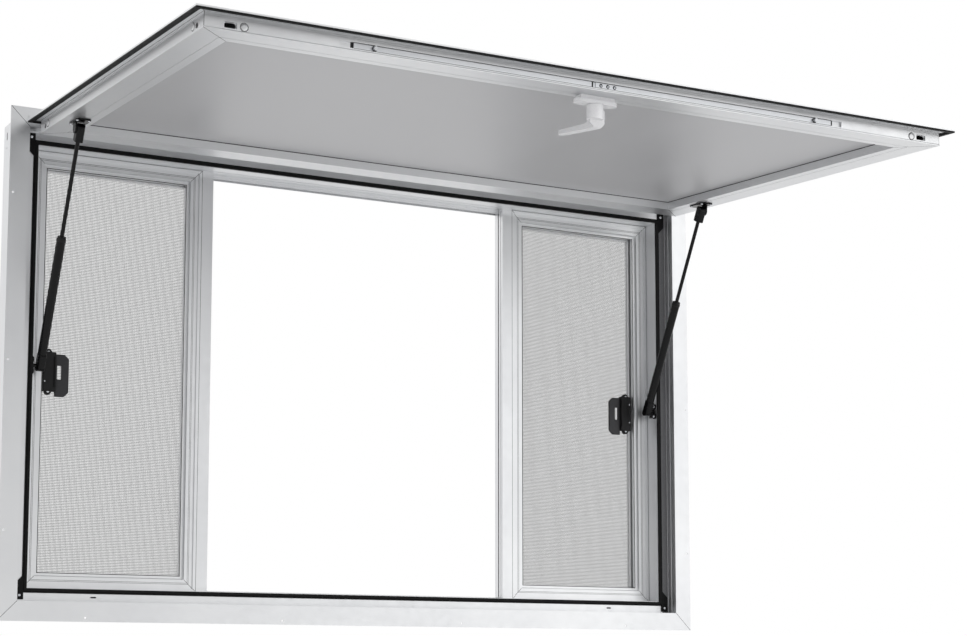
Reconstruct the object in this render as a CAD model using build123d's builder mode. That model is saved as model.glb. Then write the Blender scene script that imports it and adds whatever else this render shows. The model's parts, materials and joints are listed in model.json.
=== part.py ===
"""Concession window with a lift-up awning door, two screened side lights and two gas struts.

X runs to the right as seen from the street, Y runs into the building and Z runs up.
Y = 0 is the back of the wall flange, X = 0 is the middle, and Z = 0 is the screw line of the
sill flange. The awning stands open, as it does in use.
"""

import math
import os

from build123d import *

# Wall frame: one hollow extrusion, mitred at four corners
FRAME_WIDTH = 1600.0
FRAME_HEIGHT = 1016.0
FLANGE_FACE = 39.0
FLANGE_THICKNESS = 2.0
SCREW_LINE = 8.0
BOX_INSET = 17.0
FRAME_DEPTH = 108.0
FRAME_WALL = 2.0
LEDGE_DEPTH = 30.0
REVEAL_INSET = 66.0
LIGHT_SEAT_DEPTH = 68.0
GROOVE_WIDTH = 3.0
GROOVE_DEPTH = 0.8
GROOVE_TO_LIGHT = 6.0

# Screw holes in the wall flange
FLANGE_HOLE_RADIUS = 2.25
SILL_HOLE_SPACING = 1250.0 / 3
SIDE_HOLE_SPACING = 333.0

# Slots and pilot holes in the outer walls of the jambs
JAMB_SLOT_LENGTH = 16.0
JAMB_SLOT_WIDTH = 5.0
JAMB_SLOT_FROM_END = 24.0
JAMB_PILOT_FROM_END = 48.0
JAMB_PILOT_RADIUS = 2.0
JAMB_SLOT_DEPTH = 86.0

# Drain slots in the front of the sill's ledge
DRAIN_X = 600.0
DRAIN_LENGTH = 12.0
DRAIN_HEIGHT = 3.0

# Seal that the closed awning presses on, and the blocks at its corners
SEAL_INSET = 59.0
SEAL_WIDTH = 6.0
SEAL_THICKNESS = 4.0
SEAL_BEVEL = 1.0
CORNER_BLOCK_LENGTH = 32.0
CORNER_BLOCK_THICKNESS = 2.5
CORNER_BLOCK_MARGIN = 4.0

# Tracks for the sliding screens, as fins on the head and the sill
TRACK_FIN = 2.0
TRACK_HEAD_DROP = 8.0
TRACK_SILL_RISE = 4.0
TRACK_FRONT = 87.0

# Mullions and the mitred side lights
SERVING_WIDTH = 696.0
MULLION_WIDTH = 24.0
LIGHT_FACE = 33.0
LIGHT_DEPTH = 18.0
LIGHT_LIP_WIDTH = 7.0
LIGHT_FACE_STEP = 3.0
LIGHT_BEAD_WIDTH = 8.0
LIGHT_BEAD_STEP = 10.0
LIGHT_BEAD_BEVEL = 2.0

# Sliding screen sashes, parked behind the side lights
SASH_CLEARANCE = 1.0
SASH_DEPTH = 14.0
SASH_STILE = 36.0
SASH_LEAD_STILE = 52.0
SASH_RAIL = 34.0
SCREEN_THICKNESS = 0.8
SCREEN_SLOT = 4.0

# Sash latch: a body with two screw ears on the stile's edge, and a finger pull with a window
LATCH_HEIGHT = 495.0
LATCH_BODY = (26.0, 12.0, 80.0)
LATCH_PULL = (28.0, 6.0, 86.0)
LATCH_PULL_DROP = 6.0
LATCH_WINDOW = (9.0, 28.0)
LATCH_WINDOW_TO_BODY = 4.0
LATCH_CHAMFER = 9.0
LATCH_RIB = (4.0, 3.0)
LATCH_EAR_RADIUS = 7.0
LATCH_EAR_THICKNESS = 8.0
LATCH_EAR_FROM_STILE = 11.0
LATCH_TO_SCREEN = 2.0

# Awning hinge: a bead on the head, held by an open hook along the awning's upper edge
HINGE_Y = -11.5
HINGE_FROM_TOP = 30.5
BEAD_RADIUS = 3.0
HOOK_CLEARANCE = 0.4
HOOK_WALL = 1.6
NECK_THICKNESS = 1.6
HINGE_WEB_THICKNESS = 2.0
HINGE_WEB_HEIGHT = 16.0
HINGE_WEB_DROP = 2.0
OPEN_ANGLE = 87.0
HOOK_MARGIN = 22.0
HOOK_END_INSET = 6.0
SKIN_TO_HOOK = 0.3

# Awning: a sheet on a mitred hollow frame with an inner panel
AWNING_SIDE_INSET = 30.0
AWNING_LENGTH = 956.0
AWNING_FACE_OFFSET = 1.5
SKIN_THICKNESS = 1.2
AWNING_DEPTH = 30.0
FIN_THICKNESS = 1.8
RIM_INSET = 21.0
RIM_WIDTH = 60.0
AWNING_WALL = 1.8
NOSE = 1.5
RIM_GROOVE_WIDTH = 1.2
RIM_GROOVE_CUT = 0.8
WALL_GROOVE_DEPTH = 8.0
FACE_GROOVE_FROM_WALL = 42.0
PANEL_RECESS = 17.0
PANEL_THICKNESS = 9.0
AWNING_SEAL_WIDTH = 7.0
AWNING_SEAL_THICKNESS = 3.0

# Lock channel in the rim, and the two bars that slide in it
CHANNEL_DEPTH = 4.0
CHANNEL_HEIGHT = 10.0
CHANNEL_CENTRE = 20.0
BAR_HEIGHT = 9.0
BAR_THICKNESS = 2.5
BAR_OUTER_END = 489.0
BAR_INNER_END = 25.0
BAR_GAP = 5.0
BAR_CLEARANCE = 0.3
STUD_X = 451.0
STUD_RADIUS = 4.0
STUD_LENGTH = 7.0
STUD_BEVEL = 1.0
DRIVE_SCREW_SPACING = 14.0
DRIVE_SCREW_RADIUS = 2.2
DRIVE_SCREW_DEPTH = 1.2

# Assembly slots near the corners of the rim, in the lower rail and in the side rails
RIM_SLOT_WIDTH = 9.0
LOWER_SLOT_LENGTH = 20.0
LOWER_SLOT_FROM_CORNER = 45.0
SIDE_SLOT_LENGTH = 12.0
SIDE_SLOT_FROM_CORNER = 32.0

# Handle on the inside of the awning's lower rail
HANDLE_FROM_EDGE = 64.0
HANDLE_BASE = (86.0, 27.0, 14.0)
HANDLE_FOOT = (70.0, 20.0, 7.0)
NECK_RADIUS = 15.0
NECK_HEIGHT = 26.0
NECK_CLEARANCE = 0.4
LEVER_WIDTH = 17.0
LEVER_THICKNESS = 10.0
LEVER_TIP_THICKNESS = 7.0
LEVER_REACH = 104.0
LEVER_KNEE = (16.0, 9.0)
LEVER_TIP_SHIFT = 9.0
LEVER_DROP = 10.0

# Gas struts
STRUT_INSET = 84.0
STRUT_LOW_Y = 41.0
STRUT_LOW_Z = 498.0
STRUT_UP_REACH = 178.0
STRUT_UP_DEPTH = 44.0
CYLINDER_RADIUS = 9.0
CYLINDER_LENGTH = 238.0
CYLINDER_END_WALL = 12.0
ROD_RADIUS = 4.0
ROD_CLEARANCE = 0.08
ROD_IN_CYLINDER = 26.0
SOCKET_RADIUS = 11.0
SOCKET_WIDTH = 16.0
SOCKET_LENGTH = 24.0
SOCKET_ROUND = 5.0
PIN_RADIUS = 4.0
PIN_CLEARANCE = 0.3
PIN_DEPTH = 11.0
PLATE_THICKNESS = 3.0
PLATE_ROUND = 8.0
TAB_THICKNESS = 3.0
LOW_PLATE = (20.0, 28.0)
LOW_PLATE_SHIFT = 5.0
LOBE_RADIUS = 6.5
LOBE_FROM_LEDGE = 7.5
LOBE_RISE = 11.0
UP_PLATE = (30.0, 56.0)
TAB_WIDTH = 18.0

OUT = "parts"
os.makedirs(OUT, exist_ok=True)

bottom_z = -SCREW_LINE
top_z = FRAME_HEIGHT - SCREW_LINE
half_width = FRAME_WIDTH / 2
hinge_z = top_z - HINGE_FROM_TOP

# Local frames: x to the right, y down the window and z from the street inwards
wall = Plane(origin=(0, 0, top_z), x_dir=(1, 0, 0), z_dir=(0, 1, 0))
swing = math.radians(OPEN_ANGLE)
awning = Plane(origin=(0, HINGE_Y, hinge_z), x_dir=(1, 0, 0), z_dir=(0, math.cos(swing), -math.sin(swing)))


def save(part, name):
    """Labels a finished piece and writes it as its own file."""
    part.label = name
    export_step(part, f"{OUT}/{name}.step")


def point(base, x, down, depth):
    """A point given in a local frame, as a world vector."""
    return base.from_local_coords(Vector(x, down, depth))


def local_plane(base, origin, x_dir, z_dir):
    """A plane whose origin and directions are given in a local frame."""
    start = point(base, *origin)
    along = point(base, *(origin[i] + x_dir[i] for i in range(3))) - start
    normal = point(base, *(origin[i] + z_dir[i] for i in range(3))) - start
    return Plane(origin=start, x_dir=along, z_dir=normal)


def mitred_bar(base, left, right, top, bottom, side, section):
    """One side of a rectangular frame, its section drawn in (inset, depth), mitred at 45 degrees."""
    middle_x = (left + right) / 2
    middle_y = (top + bottom) / 2
    inward, centre, half = {
        "top": ((0, 1, 0), (middle_x, top, 0), (right - left) / 2),
        "bottom": ((0, -1, 0), (middle_x, bottom, 0), (right - left) / 2),
        "left": ((1, 0, 0), (left, middle_y, 0), (bottom - top) / 2),
        "right": ((-1, 0, 0), (right, middle_y, 0), (bottom - top) / 2),
    }[side]
    along = (inward[1], -inward[0], 0)
    with BuildPart() as bar:
        with BuildSketch(local_plane(base, centre, inward, along)):
            add(section)
        extrude(amount=half, both=True)
        for end in (-1, 1):
            corner = tuple(centre[i] + end * half * along[i] for i in range(3))
            normal = tuple(inward[i] + end * along[i] for i in range(3))
            split(bisect_by=local_plane(base, corner, (0, 0, 1), normal), keep=Keep.BOTTOM)
    return bar.part


def block(base, x, down, depth, size_x, size_down, size_depth):
    """A box between a corner and its sizes in a local frame, centred on x and down, from depth inwards."""
    with BuildPart() as made:
        with BuildSketch(local_plane(base, (x, down, depth), (1, 0, 0), (0, 0, 1))):
            Rectangle(size_x, size_down)
        extrude(amount=size_depth)
    return made.part


def frame_section(fins=0.0):
    """The wall frame's extrusion: flange, hollow box, ledge and reveal, with track fins where asked."""
    front_low = BOX_INSET + FRAME_WALL
    front_high = FLANGE_FACE - FRAME_WALL
    rear_high = REVEAL_INSET - FRAME_WALL
    with BuildSketch() as section:
        with BuildLine():
            Polyline(
                (0, -FLANGE_THICKNESS),
                (FLANGE_FACE, -FLANGE_THICKNESS),
                (FLANGE_FACE, LEDGE_DEPTH),
                (REVEAL_INSET, LEDGE_DEPTH),
                (REVEAL_INSET, FRAME_DEPTH),
                (BOX_INSET, FRAME_DEPTH),
                (BOX_INSET, 0),
                (0, 0),
                close=True,
            )
        make_face()
        with Locations(((front_low + front_high) / 2, LEDGE_DEPTH / 2)):
            Rectangle(front_high - front_low, LEDGE_DEPTH, mode=Mode.SUBTRACT)
        with Locations(((front_low + rear_high) / 2, (LEDGE_DEPTH + FRAME_DEPTH) / 2)):
            Rectangle(rear_high - front_low, FRAME_DEPTH - LEDGE_DEPTH - 2 * FRAME_WALL, mode=Mode.SUBTRACT)
        with Locations((FLANGE_FACE, LEDGE_DEPTH / 2), (REVEAL_INSET, LIGHT_SEAT_DEPTH - GROOVE_TO_LIGHT)):
            Rectangle(2 * GROOVE_DEPTH, GROOVE_WIDTH, mode=Mode.SUBTRACT)
        if fins:
            for depth in (TRACK_FRONT, FRAME_DEPTH - TRACK_FIN):
                with Locations((REVEAL_INSET + fins / 2, depth + TRACK_FIN / 2)):
                    Rectangle(fins, TRACK_FIN)
    return section.sketch


def flange_holes(part, spots):
    """Drills the wall flange at spots given as (x, z)."""
    with BuildPart() as drilled:
        add(part)
        with BuildSketch(Plane.XZ.offset(-FLANGE_THICKNESS)):
            with Locations(*spots):
                Circle(FLANGE_HOLE_RADIUS)
        extrude(amount=4 * FLANGE_THICKNESS, both=True, mode=Mode.SUBTRACT)
    return drilled.part


def make_frame():
    sides = {
        "frame_head": ("top", TRACK_HEAD_DROP),
        "frame_sill": ("bottom", TRACK_SILL_RISE),
        "frame_left_jamb": ("left", 0),
        "frame_right_jamb": ("right", 0),
    }
    rows = [(n - 1.5) * SILL_HOLE_SPACING for n in range(4)]
    heights = [(FRAME_HEIGHT / 2 + bottom_z) + (n - 1) * SIDE_HOLE_SPACING for n in range(3)]
    side_x = half_width - SCREW_LINE
    for name, (side, fins) in sides.items():
        rail = mitred_bar(
            wall, -half_width, half_width, 0, FRAME_HEIGHT, side, frame_section(fins)
        )
        if side in ("top", "bottom"):
            z = top_z - SCREW_LINE if side == "top" else 0
            rail = flange_holes(rail, [(x, z) for x in rows])
        else:
            x = -side_x if side == "left" else side_x
            rail = flange_holes(rail, [(x, z) for z in heights])
            rail = slot_jamb(rail, -1 if side == "left" else 1)
        if side == "bottom":
            rail = drain_sill(rail)
        save(rail, name)


def slot_jamb(part, hand):
    """Cuts the slots and pilot holes in a jamb's outer wall, near both ends."""
    outer = Plane(origin=(hand * (half_width - BOX_INSET), 0, 0), x_dir=(0, 1, 0), z_dir=(1, 0, 0))
    with BuildPart() as slotted:
        add(part)
        with BuildSketch(outer):
            for end, sign in ((bottom_z + BOX_INSET, 1), (top_z - BOX_INSET, -1)):
                with Locations((JAMB_SLOT_DEPTH, end + sign * JAMB_SLOT_FROM_END)):
                    SlotOverall(JAMB_SLOT_LENGTH, JAMB_SLOT_WIDTH, rotation=90)
                with Locations((JAMB_SLOT_DEPTH, end + sign * JAMB_PILOT_FROM_END)):
                    Circle(JAMB_PILOT_RADIUS)
        extrude(amount=1.5 * FRAME_WALL, both=True, mode=Mode.SUBTRACT)
    return slotted.part


def drain_sill(part):
    """Cuts the drain slots in the front of the sill's ledge."""
    height = bottom_z + (FLANGE_FACE + SEAL_INSET) / 2
    with BuildPart() as drained:
        add(part)
        with BuildSketch(Plane.XZ.offset(-LEDGE_DEPTH)):
            with Locations((-DRAIN_X, height), (DRAIN_X, height)):
                SlotOverall(DRAIN_LENGTH, DRAIN_HEIGHT)
        extrude(amount=1.5 * FRAME_WALL, both=True, mode=Mode.SUBTRACT)
    return drained.part


def make_seals():
    """The seal round the ledge and the four corner blocks beside it."""
    inner_w = FRAME_WIDTH - 2 * SEAL_INSET
    inner_h = FRAME_HEIGHT - 2 * SEAL_INSET
    centre = (0, FRAME_HEIGHT / 2)
    with BuildPart() as seal:
        with BuildSketch(wall.offset(LEDGE_DEPTH - SEAL_THICKNESS)):
            with Locations(centre):
                Rectangle(inner_w, inner_h)
                Rectangle(inner_w - 2 * SEAL_WIDTH, inner_h - 2 * SEAL_WIDTH, mode=Mode.SUBTRACT)
        extrude(amount=SEAL_THICKNESS)
        chamfer(seal.faces().sort_by(Axis.Y)[0].outer_wire().edges(), length=SEAL_BEVEL)
    save(seal.part, "weather_seal")
    with BuildPart() as blocks:
        with BuildSketch(wall.offset(LEDGE_DEPTH - CORNER_BLOCK_THICKNESS)):
            for x_sign in (-1, 1):
                for z_sign in (-1, 1):
                    x = x_sign * (half_width - SEAL_INSET)
                    down = centre[1] + z_sign * (FRAME_HEIGHT / 2 - SEAL_INSET)
                    width = SEAL_INSET - FLANGE_FACE - CORNER_BLOCK_MARGIN
                    with BuildLine():
                        Polyline(
                            (x, down - z_sign * CORNER_BLOCK_LENGTH),
                            (x, down + z_sign * width),
                            (x + x_sign * width, down + z_sign * width),
                            (x + x_sign * width, down - z_sign * (CORNER_BLOCK_LENGTH - width)),
                            close=True,
                        )
                    make_face()
        extrude(amount=CORNER_BLOCK_THICKNESS)
    save(blocks.part, "seal_corner_blocks")


def light_section():
    """A side light's moulding: outer lip, main face, inner bead."""
    front = LIGHT_SEAT_DEPTH
    bead = LIGHT_FACE - LIGHT_BEAD_WIDTH
    with BuildSketch() as section:
        with BuildLine():
            Polyline(
                (0, front),
                (LIGHT_LIP_WIDTH, front),
                (LIGHT_LIP_WIDTH, front + LIGHT_FACE_STEP),
                (bead, front + LIGHT_FACE_STEP),
                (bead + LIGHT_BEAD_BEVEL, front + LIGHT_BEAD_STEP),
                (LIGHT_FACE, front + LIGHT_BEAD_STEP),
                (LIGHT_FACE, front + LIGHT_DEPTH),
                (0, front + LIGHT_DEPTH),
                close=True,
            )
        make_face()
    return section.sketch


def make_lights():
    """Two mullions between head and sill, and a mitred light on the outer side of each."""
    inner_edge = SERVING_WIDTH / 2 + MULLION_WIDTH
    outer_edge = half_width - REVEAL_INSET
    for hand, word in ((-1, "left"), (1, "right")):
        clear_height = FRAME_HEIGHT - 2 * REVEAL_INSET
        mullion = block(
            wall, hand * (SERVING_WIDTH + MULLION_WIDTH) / 2, FRAME_HEIGHT / 2, LIGHT_SEAT_DEPTH,
            MULLION_WIDTH, clear_height, LIGHT_DEPTH,
        )
        with BuildPart() as grooved:
            add(mullion)
            edge = hand * SERVING_WIDTH / 2
            side = Plane(origin=(edge, LIGHT_SEAT_DEPTH + LIGHT_DEPTH / 2, FRAME_HEIGHT / 2 + bottom_z),
                         x_dir=(0, 1, 0), z_dir=(1, 0, 0))
            with BuildSketch(side):
                Rectangle(GROOVE_WIDTH, clear_height)
            extrude(amount=GROOVE_DEPTH, both=True, mode=Mode.SUBTRACT)
        save(grooved.part, f"mullion_{word}")
        low, high = sorted((hand * inner_edge, hand * outer_edge))
        names = {"top": "top_rail", "bottom": "bottom_rail", "left": "left_stile", "right": "right_stile"}
        for side_name, piece in names.items():
            bar = mitred_bar(
                wall, low, high, REVEAL_INSET, FRAME_HEIGHT - REVEAL_INSET, side_name, light_section()
            )
            save(bar, f"light_{word}_{piece}")


def make_sashes():
    """The sliding screens: a frame with a slot for the screen, the screen and the latch."""
    front = TRACK_FRONT + TRACK_FIN + SASH_CLEARANCE
    outer = half_width - REVEAL_INSET - SASH_CLEARANCE
    inner = SERVING_WIDTH / 2
    top = REVEAL_INSET + SASH_CLEARANCE
    bottom = FRAME_HEIGHT - REVEAL_INSET
    screen_depth = front + SASH_DEPTH / 2 - SCREEN_THICKNESS / 2
    for hand, word in ((-1, "left"), (1, "right")):
        centre_x = hand * (outer + inner) / 2
        width = outer - inner
        clear_x = hand * ((outer - SASH_STILE) + (inner + SASH_LEAD_STILE)) / 2
        clear_w = (outer - SASH_STILE) - (inner + SASH_LEAD_STILE)
        clear_h = bottom - top - 2 * SASH_RAIL
        middle = (top + bottom) / 2
        with BuildPart() as sash:
            with BuildSketch(wall.offset(front)):
                with Locations((centre_x, middle)):
                    Rectangle(width, bottom - top)
                with Locations((clear_x, middle)):
                    Rectangle(clear_w, clear_h, mode=Mode.SUBTRACT)
            extrude(amount=SASH_DEPTH)
            with BuildSketch(wall.offset(screen_depth)):
                with Locations((clear_x, middle)):
                    Rectangle(clear_w + 2 * SCREEN_SLOT, clear_h + 2 * SCREEN_SLOT)
            extrude(amount=SCREEN_THICKNESS, mode=Mode.SUBTRACT)
        save(sash.part, f"sash_{word}")
        screen = block(
            wall, clear_x, middle, screen_depth,
            clear_w + 2 * SCREEN_SLOT, clear_h + 2 * SCREEN_SLOT, SCREEN_THICKNESS,
        )
        save(screen, f"screen_{word}")
        make_latch(hand, word, hand * (outer - SASH_STILE), front)


def make_latch(hand, word, stile_edge, front):
    """A black latch on the inner edge of the outer stile, with a finger pull towards the screen."""
    body_x = stile_edge - hand * LATCH_BODY[0] / 2
    body_edge = stile_edge - hand * LATCH_BODY[0]
    pull_x = body_edge - hand * LATCH_PULL[0] / 2
    window_x = body_edge - hand * (LATCH_WINDOW_TO_BODY + LATCH_WINDOW[0] / 2)
    rib_x = body_edge + hand * LATCH_RIB[0] / 2
    ear_x = stile_edge - hand * LATCH_EAR_FROM_STILE
    down = top_z - LATCH_HEIGHT
    back = front + SASH_DEPTH / 2 - LATCH_TO_SCREEN
    towards_screen = 0 if hand > 0 else -1
    with BuildPart() as latch:
        with BuildSketch(wall.offset(back - LATCH_BODY[1])):
            with Locations((body_x, down)):
                Rectangle(LATCH_BODY[0], LATCH_BODY[2])
        extrude(amount=LATCH_BODY[1])
        with BuildSketch(wall.offset(back - LATCH_EAR_THICKNESS)):
            with Locations((ear_x, down - LATCH_BODY[2] / 2), (ear_x, down + LATCH_BODY[2] / 2)):
                Circle(LATCH_EAR_RADIUS)
        extrude(amount=LATCH_EAR_THICKNESS)
        with BuildSketch(wall.offset(back - LATCH_BODY[1] - LATCH_RIB[1])):
            with Locations((rib_x, down)):
                Rectangle(LATCH_RIB[0], LATCH_BODY[2] - 2 * LATCH_CHAMFER)
        extrude(amount=LATCH_RIB[1])
        with BuildSketch(wall.offset(back - LATCH_PULL[1])) as pull:
            with Locations((pull_x, down + LATCH_PULL_DROP)):
                Rectangle(LATCH_PULL[0], LATCH_PULL[2])
            chamfer(pull.vertices().group_by(Axis.X)[towards_screen], length=LATCH_CHAMFER)
            with Locations((window_x, down)):
                Rectangle(*LATCH_WINDOW, mode=Mode.SUBTRACT)
        extrude(amount=LATCH_PULL[1])
    save(latch.part, f"latch_{word}")


def make_hinge_rail():
    """The bead that the awning hangs on, with its neck and the web on the head."""
    across = Plane(origin=(0, 0, 0), x_dir=(0, 1, 0), z_dir=(1, 0, 0))
    half = half_width - AWNING_SIDE_INSET - HOOK_END_INSET
    web_y = -FLANGE_THICKNESS - HINGE_WEB_THICKNESS
    web_z = hinge_z - HINGE_WEB_DROP + HINGE_WEB_HEIGHT / 2
    with BuildPart() as rail:
        with BuildSketch(across):
            with Locations((HINGE_Y, hinge_z)):
                Circle(BEAD_RADIUS)
            with Locations(((HINGE_Y + web_y) / 2, hinge_z)):
                Rectangle(web_y - HINGE_Y, NECK_THICKNESS)
            with Locations((web_y + HINGE_WEB_THICKNESS / 2, web_z)):
                Rectangle(HINGE_WEB_THICKNESS, HINGE_WEB_HEIGHT)
        extrude(amount=half, both=True)
    save(rail.part, "hinge_rail")


def awning_section(channel=False):
    """The awning's extrusion: outer fin, hollow rim with a nose, and the lock channel where asked."""
    low = SKIN_THICKNESS
    inner = RIM_INSET + CHANNEL_DEPTH + AWNING_WALL
    outer = RIM_INSET + RIM_WIDTH - AWNING_WALL
    face_groove = RIM_INSET + FACE_GROOVE_FROM_WALL
    with BuildSketch() as section:
        with BuildLine():
            Polyline(
                (0, low),
                (RIM_INSET + RIM_WIDTH, low),
                (RIM_INSET + RIM_WIDTH, AWNING_DEPTH),
                (RIM_INSET - NOSE, AWNING_DEPTH),
                (RIM_INSET - NOSE, AWNING_DEPTH - NOSE),
                (RIM_INSET, AWNING_DEPTH - 2 * NOSE),
                (RIM_INSET, low + FIN_THICKNESS),
                (0, low + FIN_THICKNESS),
                close=True,
            )
        make_face()
        with Locations(((inner + outer) / 2, (low + AWNING_DEPTH) / 2)):
            Rectangle(outer - inner, AWNING_DEPTH - low - 2 * AWNING_WALL, mode=Mode.SUBTRACT)
        with Locations((RIM_INSET, WALL_GROOVE_DEPTH)):
            Rectangle(2 * RIM_GROOVE_CUT, RIM_GROOVE_WIDTH, mode=Mode.SUBTRACT)
        with Locations((face_groove, AWNING_DEPTH)):
            Rectangle(RIM_GROOVE_WIDTH, 2 * RIM_GROOVE_CUT, mode=Mode.SUBTRACT)
        if channel:
            with Locations((RIM_INSET + CHANNEL_DEPTH / 2, CHANNEL_CENTRE)):
                Rectangle(CHANNEL_DEPTH, CHANNEL_HEIGHT, mode=Mode.SUBTRACT)
    return section.sketch


hook_inner = BEAD_RADIUS + HOOK_CLEARANCE
hook_outer = hook_inner + HOOK_WALL
awning_top = hook_inner + HOOK_WALL / 2
awning_half = half_width - AWNING_SIDE_INSET
awning_bottom = AWNING_LENGTH
face = awning.offset(-AWNING_FACE_OFFSET)


def hook(part):
    """Adds the hook that grips the hinge bead to the awning's upper rail."""
    half_neck = math.degrees(math.asin(NECK_THICKNESS / 2 / hook_inner))
    gap_from = math.radians(-OPEN_ANGLE - HOOK_MARGIN - half_neck)
    gap_to = math.radians(HOOK_MARGIN + half_neck)
    middle = (gap_from + gap_to) / 2
    reach = 3 * hook_outer
    across = Plane(origin=(0, HINGE_Y, hinge_z), x_dir=(0, 1, 0), z_dir=(1, 0, 0))
    with BuildPart() as made:
        with BuildSketch(across):
            Circle(hook_outer)
            Circle(hook_inner, mode=Mode.SUBTRACT)
            with BuildLine():
                Polyline(
                    (0, 0),
                    (reach * math.cos(gap_from), reach * math.sin(gap_from)),
                    (reach * math.cos(middle), reach * math.sin(middle)),
                    (reach * math.cos(gap_to), reach * math.sin(gap_to)),
                    close=True,
                )
            make_face(mode=Mode.SUBTRACT)
        extrude(amount=awning_half - HOOK_END_INSET, both=True)
        add(part)
    return made.part


def make_awning():
    """The sheet, the four mitred rails behind it, the recessed panel and the seal on the fin."""
    names = {
        "top": "awning_top_rail",
        "bottom": "awning_bottom_rail",
        "left": "awning_left_rail",
        "right": "awning_right_rail",
    }
    for side, name in names.items():
        section = awning_section(side == "bottom")
        bar = mitred_bar(face, -awning_half, awning_half, awning_top, awning_bottom, side, section)
        if side == "top":
            bar = hook(bar)
        else:
            bar = slot_rim(bar, side)
        save(bar, name)
    sheet_top = hook_outer + SKIN_TO_HOOK
    sheet_middle = (sheet_top + awning_bottom) / 2
    sheet_length = awning_bottom - sheet_top
    save(block(face, 0, sheet_middle, 0, 2 * awning_half, sheet_length, SKIN_THICKNESS), "awning_skin")
    inset = RIM_INSET + RIM_WIDTH
    panel = block(
        face, 0, (awning_top + awning_bottom) / 2, AWNING_DEPTH - PANEL_RECESS - PANEL_THICKNESS,
        2 * (awning_half - inset), awning_bottom - awning_top - 2 * inset, PANEL_THICKNESS,
    )
    save(panel, "awning_panel")
    with BuildPart() as seal:
        with BuildSketch(face.offset(SKIN_THICKNESS + FIN_THICKNESS)):
            with Locations((0, sheet_middle)):
                Rectangle(2 * awning_half, sheet_length)
                Rectangle(
                    2 * (awning_half - AWNING_SEAL_WIDTH), sheet_length - 2 * AWNING_SEAL_WIDTH,
                    mode=Mode.SUBTRACT,
                )
        extrude(amount=AWNING_SEAL_THICKNESS)
    save(seal.part, "awning_seal")


def slot_rim(part, side):
    """Cuts the assembly slots near both corners through the rim's outer wall on one side."""
    corner_x = awning_half - RIM_INSET
    if side == "bottom":
        outer = local_plane(face, (0, awning_bottom - RIM_INSET, 0), (1, 0, 0), (0, 1, 0))
        spots = [(end * (corner_x - LOWER_SLOT_FROM_CORNER), -CHANNEL_CENTRE) for end in (-1, 1)]
        length = LOWER_SLOT_LENGTH
    else:
        hand = -1 if side == "left" else 1
        outer = local_plane(face, (hand * corner_x, 0, 0), (0, 1, 0), (hand, 0, 0))
        inset = RIM_INSET + SIDE_SLOT_FROM_CORNER
        spots = [(down, hand * CHANNEL_CENTRE) for down in (awning_top + inset, awning_bottom - inset)]
        length = SIDE_SLOT_LENGTH
    with BuildPart() as slotted:
        add(part)
        with BuildSketch(outer):
            with Locations(*spots):
                SlotOverall(length, RIM_SLOT_WIDTH)
        extrude(amount=CHANNEL_DEPTH + 2 * AWNING_WALL, both=True, mode=Mode.SUBTRACT)
    return slotted.part


def make_lock():
    """Two bars in the rim's channel with a locking stud each, joined by the drive block."""
    channel_floor = awning_bottom - RIM_INSET - CHANNEL_DEPTH
    seat = channel_floor + BAR_CLEARANCE
    start = local_plane(face, (0, seat, CHANNEL_CENTRE), (1, 0, 0), (0, 1, 0))
    for hand, word in ((-1, "left"), (1, "right")):
        low, high = sorted((hand * (BAR_INNER_END + (BAR_GAP if hand < 0 else 0)), hand * BAR_OUTER_END))
        with BuildPart() as bar:
            with BuildSketch(start):
                with Locations(((low + high) / 2, 0)):
                    Rectangle(high - low, BAR_HEIGHT)
            extrude(amount=BAR_THICKNESS)
            with BuildSketch(start.offset(BAR_THICKNESS)):
                with Locations((hand * STUD_X, 0)):
                    Circle(STUD_RADIUS)
            extrude(amount=STUD_LENGTH)
            chamfer(bar.faces().sort_by(Axis.Y)[0].edges(), length=STUD_BEVEL)
        save(bar.part, f"lock_bar_{word}")
    with BuildPart() as drive:
        with BuildSketch(start):
            with Locations((0, 0)):
                Rectangle(2 * BAR_INNER_END, BAR_HEIGHT)
        extrude(amount=BAR_THICKNESS)
        with BuildSketch(start):
            with Locations((-BAR_INNER_END - BAR_GAP / 2, 0)):
                Rectangle(BAR_GAP, BAR_HEIGHT)
        extrude(amount=BAR_THICKNESS / 2)
        with BuildSketch(start.offset(BAR_THICKNESS)):
            with GridLocations(DRIVE_SCREW_SPACING, 0, 3, 1):
                Circle(DRIVE_SCREW_RADIUS)
        extrude(amount=-DRIVE_SCREW_DEPTH, mode=Mode.SUBTRACT)
    save(drive.part, "lock_drive_block")


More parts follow.
